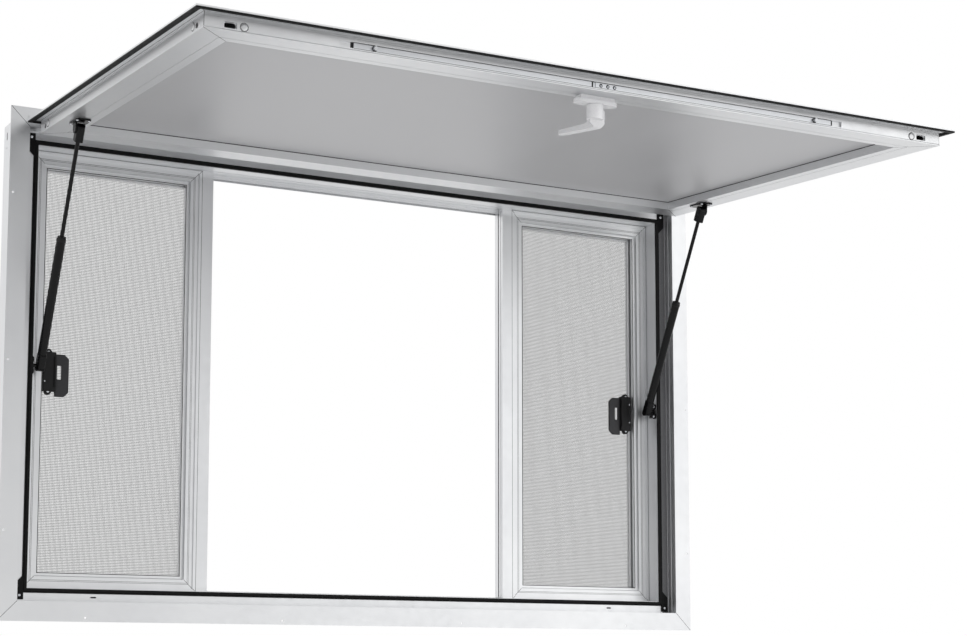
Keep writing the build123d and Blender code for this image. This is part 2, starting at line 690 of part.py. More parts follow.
def make_handle():
    """A foot and base on the inner face of the lower rim, and the cranked lever that turns in it."""
    down = awning_bottom - HANDLE_FROM_EDGE
    foot = local_plane(face, (0, down, AWNING_DEPTH), (1, 0, 0), (0, 0, 1))
    with BuildPart() as base:
        with BuildSketch(foot):
            Rectangle(*HANDLE_FOOT[:2])
        extrude(amount=HANDLE_FOOT[2])
        with BuildSketch(foot.offset(HANDLE_FOOT[2])):
            SlotOverall(HANDLE_BASE[0], HANDLE_BASE[1])
        extrude(amount=HANDLE_BASE[2] - HANDLE_FOOT[2])
    save(base.part, "handle_base")
    turn_depth = AWNING_DEPTH + HANDLE_BASE[2] + NECK_CLEARANCE
    turn = local_plane(face, (0, down, turn_depth), (1, 0, 0), (0, 0, 1))
    side = local_plane(face, (0, down, turn_depth), (0, 1, 0), (1, 0, 0))
    knee = Vector(LEVER_KNEE[0], -LEVER_KNEE[1])
    tip = Vector(-LEVER_TIP_SHIFT, -LEVER_REACH + LEVER_WIDTH / 2)
    low = NECK_HEIGHT + LEVER_DROP
    with BuildPart() as lever:
        with BuildSketch(turn):
            for start, end in ((Vector(0, 0), knee), (knee, tip)):
                along = end - start
                middle = (start + end) / 2
                heading = math.degrees(math.atan2(along.Y, along.X))
                with Locations((middle.X, middle.Y)):
                    SlotCenterToCenter(along.length, LEVER_WIDTH, rotation=heading)
        extrude(amount=low)
        with BuildSketch(side):
            with BuildLine():
                Polyline(
                    (LEVER_WIDTH, NECK_HEIGHT - 2 * LEVER_THICKNESS),
                    (LEVER_WIDTH, NECK_HEIGHT),
                    (0, NECK_HEIGHT),
                    (-LEVER_WIDTH, low),
                    (-LEVER_REACH, low),
                    (-LEVER_REACH, low - LEVER_TIP_THICKNESS),
                    (-2 * LEVER_WIDTH, low - LEVER_THICKNESS),
                    (0, NECK_HEIGHT - 2 * LEVER_THICKNESS),
                    close=True,
                )
            make_face()
        extrude(amount=LEVER_REACH, both=True, mode=Mode.INTERSECT)
        with BuildSketch(turn):
            Circle(NECK_RADIUS)
        extrude(amount=NECK_HEIGHT)
    save(lever.part, "handle_lever")


def strut_ends(hand):
    """The lower and the upper pivot of a strut, as world points."""
    x = hand * (half_width - STRUT_INSET)
    low = Vector(x, STRUT_LOW_Y, STRUT_LOW_Z)
    up = point(awning, x, STRUT_UP_REACH, STRUT_UP_DEPTH)
    return low, up


def make_struts():
    """Two gas struts, each a cylinder with its socket and a rod with its socket, and their brackets."""
    for hand, word in ((-1, "left"), (1, "right")):
        low, up = strut_ends(hand)
        direction = (up - low).normalized()
        exposed = (up - low).length - 2 * SOCKET_LENGTH - CYLINDER_LENGTH
        x_out = Vector(hand, 0, 0)
        tube = Plane(origin=low + direction * SOCKET_LENGTH, x_dir=x_out, z_dir=direction)
        with BuildPart() as cylinder:
            with BuildSketch(tube):
                Circle(CYLINDER_RADIUS)
            extrude(amount=CYLINDER_LENGTH)
            with BuildSketch(tube.offset(CYLINDER_END_WALL)):
                Circle(ROD_RADIUS + ROD_CLEARANCE)
            extrude(amount=CYLINDER_LENGTH, mode=Mode.SUBTRACT)
            add(socket(low, direction, x_out))
        save(cylinder.part, f"strut_cylinder_{word}")
        bore = Plane(origin=up + x_out * (SOCKET_WIDTH / 2), x_dir=direction, z_dir=x_out * -1)
        with BuildPart() as rod:
            with BuildSketch(tube.offset(CYLINDER_LENGTH - ROD_IN_CYLINDER)):
                Circle(ROD_RADIUS)
            extrude(amount=ROD_IN_CYLINDER + exposed)
            add(socket(up, direction * -1, x_out))
            with BuildSketch(bore):
                Circle(PIN_RADIUS + PIN_CLEARANCE)
            extrude(amount=PIN_DEPTH + PIN_CLEARANCE, mode=Mode.SUBTRACT)
        save(rod.part, f"strut_rod_{word}")
        make_lower_bracket(hand, word, low)
        make_upper_bracket(hand, word, up)


def socket(centre, direction, x_out):
    """The round-ended plastic socket on a strut's end, with its flats across the pin."""
    side = Plane(origin=centre - x_out * (SOCKET_WIDTH / 2), x_dir=direction, z_dir=x_out)
    with BuildPart() as made:
        with BuildSketch(side):
            Circle(SOCKET_RADIUS)
            with Locations((SOCKET_LENGTH / 2, 0)):
                Rectangle(SOCKET_LENGTH, 2 * SOCKET_RADIUS)
        extrude(amount=SOCKET_WIDTH)
        with BuildSketch(Plane(origin=centre, x_dir=x_out, z_dir=direction).offset(-SOCKET_RADIUS)):
            RectangleRounded(SOCKET_WIDTH, 2 * SOCKET_RADIUS, SOCKET_ROUND)
        extrude(amount=SOCKET_LENGTH + SOCKET_RADIUS, mode=Mode.INTERSECT)
    return made.part


def make_lower_bracket(hand, word, low):
    """The lobed plate on the jamb's reveal and the stud that the strut's lower socket sits on."""
    reveal_x = hand * (half_width - REVEAL_INSET)
    socket_side = STRUT_INSET - SOCKET_WIDTH / 2 - REVEAL_INSET
    stud = Plane(origin=(reveal_x, low.Y, low.Z), x_dir=(0, 1, 0), z_dir=(-hand, 0, 0))
    lobe_y = LEDGE_DEPTH + LOBE_FROM_LEDGE - STRUT_LOW_Y
    with BuildPart() as bracket:
        with BuildSketch(stud):
            with Locations((LOW_PLATE_SHIFT, 0)):
                Rectangle(*LOW_PLATE)
            with Locations((lobe_y, -LOBE_RISE), (lobe_y, LOBE_RISE)):
                Circle(LOBE_RADIUS)
        extrude(amount=PLATE_THICKNESS)
        with BuildSketch(stud):
            Circle(PIN_RADIUS)
        extrude(amount=socket_side - PIN_CLEARANCE)
    save(bracket.part, f"strut_bracket_lower_{word}")


def make_upper_bracket(hand, word, up):
    """The plate on the awning's side rail, its tab on the strut's outer side and the pin."""
    pin_height = STRUT_UP_DEPTH + AWNING_FACE_OFFSET
    foot = local_plane(face, (up.X, STRUT_UP_REACH, AWNING_DEPTH), (1, 0, 0), (0, 0, 1))
    tab_x = up.X + hand * (SOCKET_WIDTH / 2 + PIN_CLEARANCE)
    tab = local_plane(face, (tab_x, STRUT_UP_REACH, AWNING_DEPTH), (0, 0, 1), (hand, 0, 0))
    pin = local_plane(face, (tab_x, STRUT_UP_REACH, pin_height), (0, 0, 1), (-hand, 0, 0))
    with BuildPart() as bracket:
        with BuildSketch(foot):
            RectangleRounded(UP_PLATE[0], UP_PLATE[1], PLATE_ROUND)
        extrude(amount=PLATE_THICKNESS)
        with BuildSketch(tab):
            with Locations((pin_height - AWNING_DEPTH, 0)):
                Circle(TAB_WIDTH / 2)
            with Locations(((pin_height - AWNING_DEPTH) / 2, 0)):
                Rectangle(pin_height - AWNING_DEPTH, TAB_WIDTH)
        extrude(amount=TAB_THICKNESS)
        with BuildSketch(pin):
            Circle(PIN_RADIUS)
        extrude(amount=PIN_DEPTH)
    save(bracket.part, f"strut_bracket_upper_{word}")


make_frame()
make_seals()
make_lights()
make_sashes()
make_hinge_rail()
make_awning()
make_lock()
make_handle()
make_struts()
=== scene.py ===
"""Dresses the concession window: its finishes, woven screens, screws, plugs, beads and joint lines, and the dark
lines, strips and rings of painted shade on it.
"""

import json
import math

import bmesh
import bpy
from mathutils import Matrix, Vector


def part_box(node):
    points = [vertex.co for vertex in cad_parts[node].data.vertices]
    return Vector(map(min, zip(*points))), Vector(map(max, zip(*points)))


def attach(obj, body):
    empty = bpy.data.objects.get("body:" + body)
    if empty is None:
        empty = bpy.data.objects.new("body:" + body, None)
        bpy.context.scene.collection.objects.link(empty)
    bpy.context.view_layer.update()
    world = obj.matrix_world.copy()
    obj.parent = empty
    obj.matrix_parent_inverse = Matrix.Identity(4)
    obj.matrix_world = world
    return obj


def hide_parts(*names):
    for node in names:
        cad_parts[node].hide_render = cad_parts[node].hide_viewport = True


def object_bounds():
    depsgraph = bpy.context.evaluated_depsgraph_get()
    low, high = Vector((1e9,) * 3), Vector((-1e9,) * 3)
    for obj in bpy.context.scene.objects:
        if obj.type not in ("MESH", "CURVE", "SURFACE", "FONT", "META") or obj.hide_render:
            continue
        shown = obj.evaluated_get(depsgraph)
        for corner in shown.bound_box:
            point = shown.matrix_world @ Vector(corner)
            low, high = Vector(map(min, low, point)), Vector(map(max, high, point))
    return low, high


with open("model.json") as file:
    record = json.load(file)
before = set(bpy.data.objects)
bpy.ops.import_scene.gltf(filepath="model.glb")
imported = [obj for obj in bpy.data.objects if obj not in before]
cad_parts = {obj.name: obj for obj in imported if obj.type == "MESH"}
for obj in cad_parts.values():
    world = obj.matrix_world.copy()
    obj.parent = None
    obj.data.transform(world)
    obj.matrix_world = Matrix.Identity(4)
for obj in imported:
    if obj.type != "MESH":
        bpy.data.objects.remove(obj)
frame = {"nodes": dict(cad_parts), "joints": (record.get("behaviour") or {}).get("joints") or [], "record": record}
cad_low, cad_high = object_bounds()
MM = 0.001

# Camera that sees the window from below and from the left, as in the photo
CAMERA_PLACE = (-1.8281, -3.8688, -0.1233)
CAMERA_YAW = 28.381
CAMERA_PITCH = 6.968
CAMERA_LENS = 75.30
CAMERA_SHIFT = 0.12
SENSOR_WIDTH = 36.0
CAMERA_REACH = 100.0

# Studio, in metres and watts; the card is the softbox in front, dim on its left and bright on its right
FLOOR_DROP = 1.0
FLOOR_SIZE = 30.0
FLOOR_GLOW = 0.95
FADE_START = 2.0
FADE_END = 5.5
SKY_DIFFUSE = 0.8
CARD_PLACE = (0.5, -4.6, 1.5)
CARD_SIZE = (11.0, 6.0)
CARD_DIM_X = 0.2
CARD_BRIGHT_X = 2.2
CARD_LOW = 0.68
CARD_HIGH = 1.35
FLAG_PLACE = (-0.7, -4.5, 2.6)
FLAG_SIZE = (2.2, 1.9)
LAMP_SIZE = 2.5
LAMP_TARGET = (0, 0, 0.5)
KEY_PLACE = (2.5, -3.5, 3.0)
KEY_POWER = 60
FILL_PLACE = (-3.0, -3.0, 1.0)
FILL_POWER = 15

# Woven screens, 18 by 14 mesh drawn 1.77 times as coarse as the real 1.41 by 1.81 mm, so that threads show
WARP_PITCH = 2.5 * MM
WEFT_PITCH = 3.2 * MM
THREAD_WIDTH = 0.92 * MM
THREAD_RISE = 0.25 * MM
THREAD_SIDES = 3
SCREEN_SLOT = 4.0 * MM
SPLINE_RADIUS = 1.8 * MM
SPLINE_INSET = 1.0 * MM

# Thin lines and trims, several of them dark strips of painted shade: how wide they are, how far they stand out of
# their face and how deep they sit in it
JOINT_WIDTH = 0.8 * MM
JOINT_PROUD = 0.06 * MM
LINE_START = 0.5 * MM
# Painted shade: two dark lines on each light's flat face
LIGHT_SHADE_LINE_WIDTH = 0.6 * MM
# Painted shade: dark lines and pads in the gaps between parts
GAP_SHADE_WIDTH = 0.7 * MM
GAP_SHADE_FILM = 0.1 * MM
# Painted shade: a black line along each light's glazing edge
EDGE_SHADE_WIDTH = 1.4 * MM
SEAL_LIP = 3.0 * MM
SEAL_LIP_PROUD = 1.5 * MM
# Painted shade: a mid-grey strip on the right jamb
JAMB_SHADE_WIDTH = 15.0 * MM
JAMB_SHADE_PROUD = 0.8 * MM
JAMB_SHADE_SUNK = 0.1 * MM
# Painted shade on the awning's fin: a dark line where it meets the rim, and a dark band on it
FIN_SHADE_LINE_WIDTH = 1.0 * MM
FIN_SHADE_BAND_WIDTH = 4.6 * MM
FIN_SHADE_BAND_PROUD = 0.8 * MM
GASKET_RADIUS = 1.2 * MM

# Radii of heads and plugs, and of the dark rings of painted shade round the plugs, drive screws and studs
BLOCK_SCREW = 3.0 * MM
EAR_SCREW = 3.0 * MM
RIVET = 1.7 * MM
LOWER_BRACKET_SCREW = 3.2 * MM
UPPER_BRACKET_SCREW = 2.7 * MM
DRIVE_SCREW = 2.1 * MM
DRIVE_SHADE_RING = 3.4 * MM
STUD_SHADE_RING = 4.8 * MM
PLUG_RADIUS = 6.5 * MM
PLUG_SHADE_RING = 7.3 * MM
HEAD_LIFT = 0.3 * MM

# Which edges are sharp, which faces count as one flat, and how close vertices merge
SHARP_ANGLE = math.radians(32)
FLAT_ANGLE = math.radians(1)
MERGE_DISTANCE = 0.002 * MM

# How far the edges of the softened pieces are rounded
LATCH_ROUND = 0.7 * MM
ROD_ROUND = 0.3 * MM
TUBE_ROUND = 0.8 * MM
BRACKET_ROUND = 0.5 * MM
BASE_ROUND = 1.2 * MM
LEVER_ROUND = 1.4 * MM

# The wall frame's and the lights' own sizes, which the details sit on
FLANGE_FACE = 39.0 * MM
FLANGE_FRONT = -2.0 * MM
LEDGE_DEPTH = 30.0 * MM
SEAL_INSET = 59.0 * MM
BLOCK_INSET = 51.0 * MM
BLOCK_FACE = 27.5 * MM
LIGHT_FACE = 33.0 * MM
LIGHT_LIP = 7.0 * MM
LIGHT_BEAD = 25.0 * MM
LIGHT_STEP = 3.0 * MM
LIGHT_BEAD_STEP = 10.0 * MM
# Insets of the two dark lines of painted shade on each light's face
LIGHT_SHADE_LINES = (15.5 * MM, 18.0 * MM)

# The awning's own sizes: insets from its edge, distances down from the hinge line and depths from its sheet
AWNING_FACE_OFFSET = 1.5 * MM
AWNING_TOP = 4.2 * MM
AWNING_BOTTOM = 956.0 * MM
AWNING_DEPTH = 30.0 * MM
RIM_INSET = 21.0 * MM
RIM_WIDTH = 60.0 * MM
RIM_NOSE = 1.5 * MM
RIM_CORNER = (3.5 * MM, 26.5 * MM)
FIN_DEPTH = 3.0 * MM
FIN_LINE_INSET = 8.0 * MM
# Inset of the dark band of painted shade on the fin
FIN_SHADE_BAND_INSET = 9.4 * MM
PANEL_DEPTH = 13.0 * MM
CHANNEL_CENTRE = 20.0 * MM
CHANNEL_HALF = 5.0 * MM
CHANNEL_DEPTH = 4.0 * MM
CHANNEL_COVERS = ((513.0 * MM, 693.0 * MM), (715.0 * MM, 748.5 * MM))
BAR_END = 489.0 * MM
BAR_GAP = 5.0 * MM
BAR_FACE = 933.8 * MM
LOWER_PLUG_FROM_CORNER = 68.0 * MM
SIDE_PLUG_FROM_CORNER = 50.0 * MM
SIDE_PLUG_DEPTH = 18.0 * MM
STUD_X = 451.0 * MM
DRIVE_SCREW_X = 14.0 * MM
# Where the black strip of painted shade at the drive block's end lies
DRIVE_END = -31.5 * MM
DRIVE_END_DEPTHS = (15.7 * MM, 24.3 * MM)
DRIVE_END_WIDTH = 3.0 * MM

# Latches and struts, with x as on the right-hand side
EAR_X = 686.0 * MM
EAR_FACE = 87.0 * MM
EAR_HEIGHTS = (455.0 * MM, 535.0 * MM)
RIVET_X = 694.0 * MM
RIVET_FACE = 83.0 * MM
RIVET_HEIGHTS = (475.0 * MM, 517.0 * MM)
PULL_EDGE_X = 670.5 * MM
PIVOT_X = 716.0 * MM
PIVOT_DEPTH = 41.0 * MM
PIVOT_HEIGHT = 498.0 * MM
SOCKET_LENGTH = 24.0 * MM
TUBE_LENGTH = 238.0 * MM
GLAND = (
    (0, 6.5), (4.3, 6.5), (7.6, 6.5), (8.6, 5.5), (8.6, 2.0), (9.5, 1.2), (9.5, -2.5), (9.1, -3.5),
    (0, -3.5))
LOWER_BRACKET_X = 731.0 * MM
LOWER_BRACKET_DEPTH = 37.5 * MM
LOWER_BRACKET_HEIGHTS = (487.0 * MM, 509.0 * MM)
UPPER_BRACKET_X = (704.5 * MM, 727.5 * MM)
UPPER_BRACKET_DOWN = (158.0 * MM, 198.0 * MM)
UPPER_BRACKET_FACE = 33.0 * MM

# Profiles of a head and a plug one metre in radius, as radius and height pairs
PAN_HEAD = (
    (0, 0.6), (0.12, 0.6), (0.45, 0.56), (0.75, 0.42), (0.94, 0.2), (1.0, 0.0), (1.0, -0.15), (0, -0.15))
CROSS_REACH = 0.5
CROSS_DEPTH = 0.3
CROSS_MIDDLE = 0.05
CROSS_HALF_ANGLE = 10
CROSS_LOWEST = 0.3
HEAD_SEGMENTS = 24
RIM_PLUG = (
    (0, 0.09), (0.5, 0.09), (0.86, 0.08), (0.9, 0.02), (0.93, 0.02), (0.96, 0.07), (1.0, 0.03), (1.0, -0.05),
    (0, -0.05))
PLUG_SEGMENTS = 32

# The span in which a noise's value mostly lies
NOISE_LOW = 0.3
NOISE_HIGH = 0.7

# Ways that faces look
STREET = Vector((0, -1, 0))
INDOORS = Vector((0, 1, 0))


def linear(hex_colour):
    """An sRGB hex colour as linear red, green, blue and alpha."""
    parts = [int(hex_colour[i:i + 2], 16) / 255 for i in (1, 3, 5)]
    return (*[p / 12.92 if p <= 0.04045 else ((p + 0.055) / 1.055) ** 2.4 for p in parts], 1.0)


def add_node(tree, kind, values=None, links=None, **settings):
    """Adds a node, sets its properties and sockets, and feeds its sockets from other nodes' outputs."""
    made = tree.nodes.new(kind)
    for name, value in settings.items():
        setattr(made, name, value)
    for name, value in (values or {}).items():
        made.inputs[name].default_value = value
    for name, source in (links or {}).items():
        tree.links.new(source, made.inputs[name])
    return made


def new_material(name, colour, metallic, roughness, **sockets):
    """A material with its shader set; returns the material, its tree and the shader."""
    made = bpy.data.materials.new(name)
    made.use_nodes = True
    shader = made.node_tree.nodes["Principled BSDF"]
    shader.inputs["Base Color"].default_value = linear(colour)
    shader.inputs["Metallic"].default_value = metallic
    shader.inputs["Roughness"].default_value = roughness
    for socket, value in sockets.items():
        shader.inputs[socket.replace("_", " ")].default_value = value
    return made, made.node_tree, shader


def object_space(tree, scale=(1, 1, 1)):
    """The output of Object coordinates, stretched by a scale for each axis."""
    place = add_node(tree, "ShaderNodeTexCoord")
    stretched = add_node(tree, "ShaderNodeMapping", {"Scale": scale}, {"Vector": place.outputs["Object"]})
    return stretched.outputs["Vector"]


def vary(tree, shader, socket, source, low, high):
    """Feeds a socket with a noise's value, mapped to run from low to high."""
    spread = add_node(tree, "ShaderNodeMapRange", {
        "From Min": NOISE_LOW, "From Max": NOISE_HIGH, "To Min": low, "To Max": high}, {"Value": source})
    tree.links.new(spread.outputs["Result"], shader.inputs[socket])


def tint(tree, shader, source, first, second):
    """Feeds the base colour with a mix of two colours by a noise's value."""
    spread = add_node(tree, "ShaderNodeMapRange", {"From Min": NOISE_LOW, "From Max": NOISE_HIGH},
                      {"Value": source})
    mix = add_node(tree, "ShaderNodeMix", {6: linear(first), 7: linear(second)},
                   {"Factor": spread.outputs["Result"]}, data_type="RGBA")
    tree.links.new(mix.outputs[2], shader.inputs["Base Color"])


def bump(tree, shader, source, depth, strength=1.0):
    """Feeds the normal with a bump of a real depth in metres."""
    made = add_node(tree, "ShaderNodeBump", {"Strength": strength, "Distance": depth}, {"Height": source})
    tree.links.new(made.outputs["Normal"], shader.inputs["Normal"])


def anodised_aluminium():
    """Satin anodised extrusion: pale grey, an even sheen, with faint streaks along the die's path."""
    made, tree, shader = new_material("anodised_aluminium", "#E4E5E7", 0.95, 0.38)
    streaks = add_node(tree, "ShaderNodeTexNoise", {"Scale": 1.0, "Detail": 3.0},
                       {"Vector": object_space(tree, (60, 400, 60))})
    cloud = add_node(tree, "ShaderNodeTexNoise", {"Scale": 3.0, "Detail": 2.0},
                     {"Vector": object_space(tree)})
    tint(tree, shader, cloud.outputs["Fac"], "#DFE0E2", "#E9EAEB")
    vary(tree, shader, "Roughness", streaks.outputs["Fac"], 0.36, 0.44)
    grain = add_node(tree, "ShaderNodeTexNoise", {"Scale": 2500.0, "Detail": 1.0},
                     {"Vector": object_space(tree)})
    bump(tree, shader, grain.outputs["Fac"], 0.01 * MM, 0.3)
    return made


def mill_sheet():
    """Coated aluminium sheet: near white, flat, with the slight waves of thin sheet."""
    made, tree, shader = new_material("coated_sheet", "#E4E5E6", 0.5, 0.38)
    cloud = add_node(tree, "ShaderNodeTexNoise", {"Scale": 2.0, "Detail": 2.0},
                     {"Vector": object_space(tree)})
    tint(tree, shader, cloud.outputs["Fac"], "#E1E2E3", "#E6E7E8")
    vary(tree, shader, "Roughness", cloud.outputs["Fac"], 0.36, 0.4)
    bump(tree, shader, cloud.outputs["Fac"], 0.3 * MM, 0.4)
    return made


def lining_sheet():
    """Prefinished aluminium lining: mid grey with a soft sheen in broad bands, real from its waves and varied
    roughness, and also painted into its colour as lighter and darker bands.
    """
    made, tree, shader = new_material("prefinished_lining", "#B8B8BA", 0.45, 0.42)
    bands = add_node(tree, "ShaderNodeTexNoise", {"Scale": 1.0, "Detail": 2.0},
                     {"Vector": object_space(tree, (3.2, 0.5, 0.5))})
    # Painted sheen: the colour goes lighter and darker in the same broad bands as the waves
    tint(tree, shader, bands.outputs["Fac"], "#B2B2B4", "#BEBEC0")
    vary(tree, shader, "Roughness", bands.outputs["Fac"], 0.36, 0.48)
    bump(tree, shader, bands.outputs["Fac"], 1.0 * MM, 0.5)
    return made


def screen_thread():
    """Vinyl-coated glass thread: soft grey, dull, with a little variation from thread to thread."""
    made, tree, shader = new_material("coated_glass_thread", "#646567", 0.0, 0.5)
    cloud = add_node(tree, "ShaderNodeTexNoise", {"Scale": 40.0, "Detail": 1.0},
                     {"Vector": object_space(tree)})
    tint(tree, shader, cloud.outputs["Fac"], "#5C5D5F", "#6C6D6F")
    return made


def seal_rubber():
    """Extruded black rubber: dull black with a soft edge sheen; the same black also serves as painted shade in
    rings, gaps and edge lines.
    """
    made, tree, shader = new_material("black_rubber_and_painted_shade", "#0B0B0C", 0.0, 0.62, Specular_IOR_Level=0.2)
    cloud = add_node(tree, "ShaderNodeTexNoise", {"Scale": 150.0, "Detail": 2.0},
                     {"Vector": object_space(tree)})
    tint(tree, shader, cloud.outputs["Fac"], "#090909", "#0F0F10")
    vary(tree, shader, "Roughness", cloud.outputs["Fac"], 0.55, 0.7)
    return made


def moulded_nylon(name, dark, light):
    """Glass-filled nylon: near black, with the fine spark texture of its mould."""
    made, tree, shader = new_material(name, dark, 0.0, 0.5, Specular_IOR_Level=0.3)
    grain = add_node(tree, "ShaderNodeTexNoise", {"Scale": 1400.0, "Detail": 2.0},
                     {"Vector": object_space(tree)})
    tint(tree, shader, grain.outputs["Fac"], dark, light)
    bump(tree, shader, grain.outputs["Fac"], 0.05 * MM, 0.5)
    return made


def black_steel():
    """Painted steel tube and nitrided rod: deep black with a clear, narrow shine along its length."""
    made, tree, shader = new_material("black_painted_steel", "#070708", 0.0, 0.25, Specular_IOR_Level=0.2)
    cloud = add_node(tree, "ShaderNodeTexNoise", {"Scale": 60.0, "Detail": 2.0},
                     {"Vector": object_space(tree)})
    tint(tree, shader, cloud.outputs["Fac"], "#050506", "#0A0A0B")
    vary(tree, shader, "Roughness", cloud.outputs["Fac"], 0.2, 0.3)
    return made


def handle_coat():
    """Powder-coated zinc casting: pale grey, softly glossy, with a fine orange peel."""
    made, tree, shader = new_material(
        "powder_coated_zinc", "#DFDFE1", 0.0, 0.26, Coat_Weight=0.2, Coat_Roughness=0.2)
    peel = add_node(tree, "ShaderNodeTexNoise", {"Scale": 500.0, "Detail": 1.0},
                    {"Vector": object_space(tree)})
    tint(tree, shader, peel.outputs["Fac"], "#DBDBDD", "#E3E3E5")
    bump(tree, shader, peel.outputs["Fac"], 0.04 * MM, 0.4)
    return made


def zinc_plate(name, colour, roughness):
    """Zinc-plated steel: a bluish pale metal with a brushed shine."""
    made, tree, shader = new_material(name, colour, 1.0, roughness)
    brush = add_node(tree, "ShaderNodeTexNoise", {"Scale": 1.0, "Detail": 2.0},
                     {"Vector": object_space(tree, (80, 900, 900))})
    vary(tree, shader, "Roughness", brush.outputs["Fac"], roughness - 0.05, roughness + 0.05)
    return made


def sealant_and_painted_shade():
    """The dark line where two mitred ends meet, filled with grey sealant; the same dark grey also serves as
    painted shade in gaps, on the lights' faces, on the fin and round the plugs.
    """
    made, tree, shader = new_material("joint_sealant_and_painted_shade", "#2C2C2D", 0.0, 0.8, Specular_IOR_Level=0.2)
    cloud = add_node(tree, "ShaderNodeTexNoise", {"Scale": 90.0, "Detail": 1.0},
                     {"Vector": object_space(tree)})
    tint(tree, shader, cloud.outputs["Fac"], "#262627", "#363638")
    return made


def jamb_shade_strip():
    """Painted shade on the right jamb: a dull mid-grey strip with fine pores."""
    made, tree, shader = new_material("jamb_painted_shade", "#666668", 0.0, 0.9, Specular_IOR_Level=0.2)
    pores = add_node(tree, "ShaderNodeTexVoronoi", {"Scale": 900.0},
                     {"Vector": object_space(tree)})
    tint(tree, shader, pores.outputs["Distance"], "#5E5E60", "#6E6E70")
    bump(tree, shader, pores.outputs["Distance"], 0.1 * MM, 0.6)
    return made


aluminium = anodised_aluminium()
sheet_finish = mill_sheet()
lining = lining_sheet()
thread = screen_thread()
rubber_and_shade_black = seal_rubber()
latch_nylon = moulded_nylon("black_nylon", "#0D0D0E", "#161617")
pull_nylon = moulded_nylon("worn_black_nylon", "#2C2C2E", "#38383A")
socket_nylon = moulded_nylon("socket_nylon", "#090909", "#101011")
strut_steel = black_steel()
casting = handle_coat()
lock_steel = zinc_plate("zinc_plated_bar", "#CFD1D4", 0.36)
screw_steel = zinc_plate("bright_zinc_screw", "#DDE0E4", 0.2)
sealant_and_shade_grey = sealant_and_painted_shade()
jamb_shade = jamb_shade_strip()

FINISH = {
    "aluminium_extrusion": aluminium,
    "awning_sheet": sheet_finish,
    "lining_panel": lining,
    "seal_rubber": rubber_and_shade_black,
    "screen_mesh": thread,
    "black_nylon": latch_nylon,
    "black_steel": strut_steel,
    "handle_casting": casting,
    "lock_steel": lock_steel,
}


def finish_cad_nodes():
    """Gives each CAD node the finish of its material slot."""
    for part in frame["record"]["subparts"]:
        body = frame["nodes"][part["node"]]
        body.data.materials.clear()
        body.data.materials.append(FINISH[part["material_slot"]])


def new_object(name, mesh, material):
    """Links a mesh as an object at the origin, with one material."""
    made = bpy.data.objects.new(name, mesh)
    bpy.context.scene.collection.objects.link(made)
    if material:
        mesh.materials.clear()
        mesh.materials.append(material)
    return made


def dress(piece, body):
    """Makes a finished piece ride on its body."""
    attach(piece, body)
    return piece


def mark_edges(work):
    """Shades a bmesh smooth, apart from its sharp edges."""
    for polygon in work.faces:
        polygon.smooth = True
    for edge in work.edges:
        edge.smooth = len(edge.link_faces) == 2 and edge.calc_face_angle(0) < SHARP_ANGLE


def kept_mesh(name, work):
    """A bmesh as a plain mesh; the bmesh is freed."""
    mesh = bpy.data.meshes.new(name)
    work.to_mesh(mesh)
    work.free()
    return mesh


def softened(node, width, segments, material):
    """A merged copy of a CAD node with its edges rounded, which then stands for the node."""
    work = bmesh.new()
    work.from_mesh(frame["nodes"][node].data)
    bmesh.ops.remove_doubles(work, verts=work.verts, dist=MERGE_DISTANCE)
    bmesh.ops.dissolve_limit(work, angle_limit=FLAT_ANGLE, verts=work.verts, edges=work.edges)
    sharp = [e for e in work.edges if len(e.link_faces) == 2 and e.calc_face_angle(0) > SHARP_ANGLE]
    bmesh.ops.bevel(work, geom=sharp, offset=width, segments=segments, affect="EDGES", clamp_overlap=True)
    mark_edges(work)
    piece = new_object(node + "_rounded", kept_mesh(node + "_rounded", work), material)
    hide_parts(node)
    return piece


# The awning's own frame: x to the right, down along the awning, and depth from its street face
joints = {joint["name"]: joint for joint in frame["joints"]}
hinge_line = Vector(joints["awning_hinge"]["pos_m"])
depth_way = Vector(joints["handle_turn"]["axis"])
down_way = depth_way.cross(Vector((1, 0, 0)))


def on_awning(x, down, depth):
    """A point in metres from the hinge line down the awning, and in depth from the sheet's face."""
    return hinge_line + Vector((x, 0, 0)) + down_way * down + depth_way * (depth - AWNING_FACE_OFFSET)


def new_geometry_tree(name, sockets):
    """An empty Geometry Nodes tree with named inputs; returns the tree and its two end nodes."""
    tree = bpy.data.node_groups.new(name, "GeometryNodeTree")
    tree.interface.new_socket("Geometry", in_out="OUTPUT", socket_type="NodeSocketGeometry")
    tree.interface.new_socket("Geometry", in_out="INPUT", socket_type="NodeSocketGeometry")
    for socket, kind in sockets.items():
        tree.interface.new_socket(socket, in_out="INPUT", socket_type=kind)
    return tree, add_node(tree, "NodeGroupInput"), add_node(tree, "NodeGroupOutput")


def close_tree(tree, given, result, geometry):
    """Ends a tree: instances become real meshes with the finish on them."""
    real = add_node(tree, "GeometryNodeRealizeInstances", links={"Geometry": geometry})
    painted = add_node(tree, "GeometryNodeSetMaterial",
                       links={"Geometry": real.outputs["Geometry"], "Material": given.outputs["Finish"]})
    tree.links.new(painted.outputs["Geometry"], result.inputs["Geometry"])


def odd_or_even(tree):
    """0 or 1 in turn, by index."""
    index = add_node(tree, "GeometryNodeInputIndex")
    rest = add_node(tree, "ShaderNodeMath", {1: 2.0}, {0: index.outputs["Index"]}, operation="MODULO")
    return rest.outputs[0]


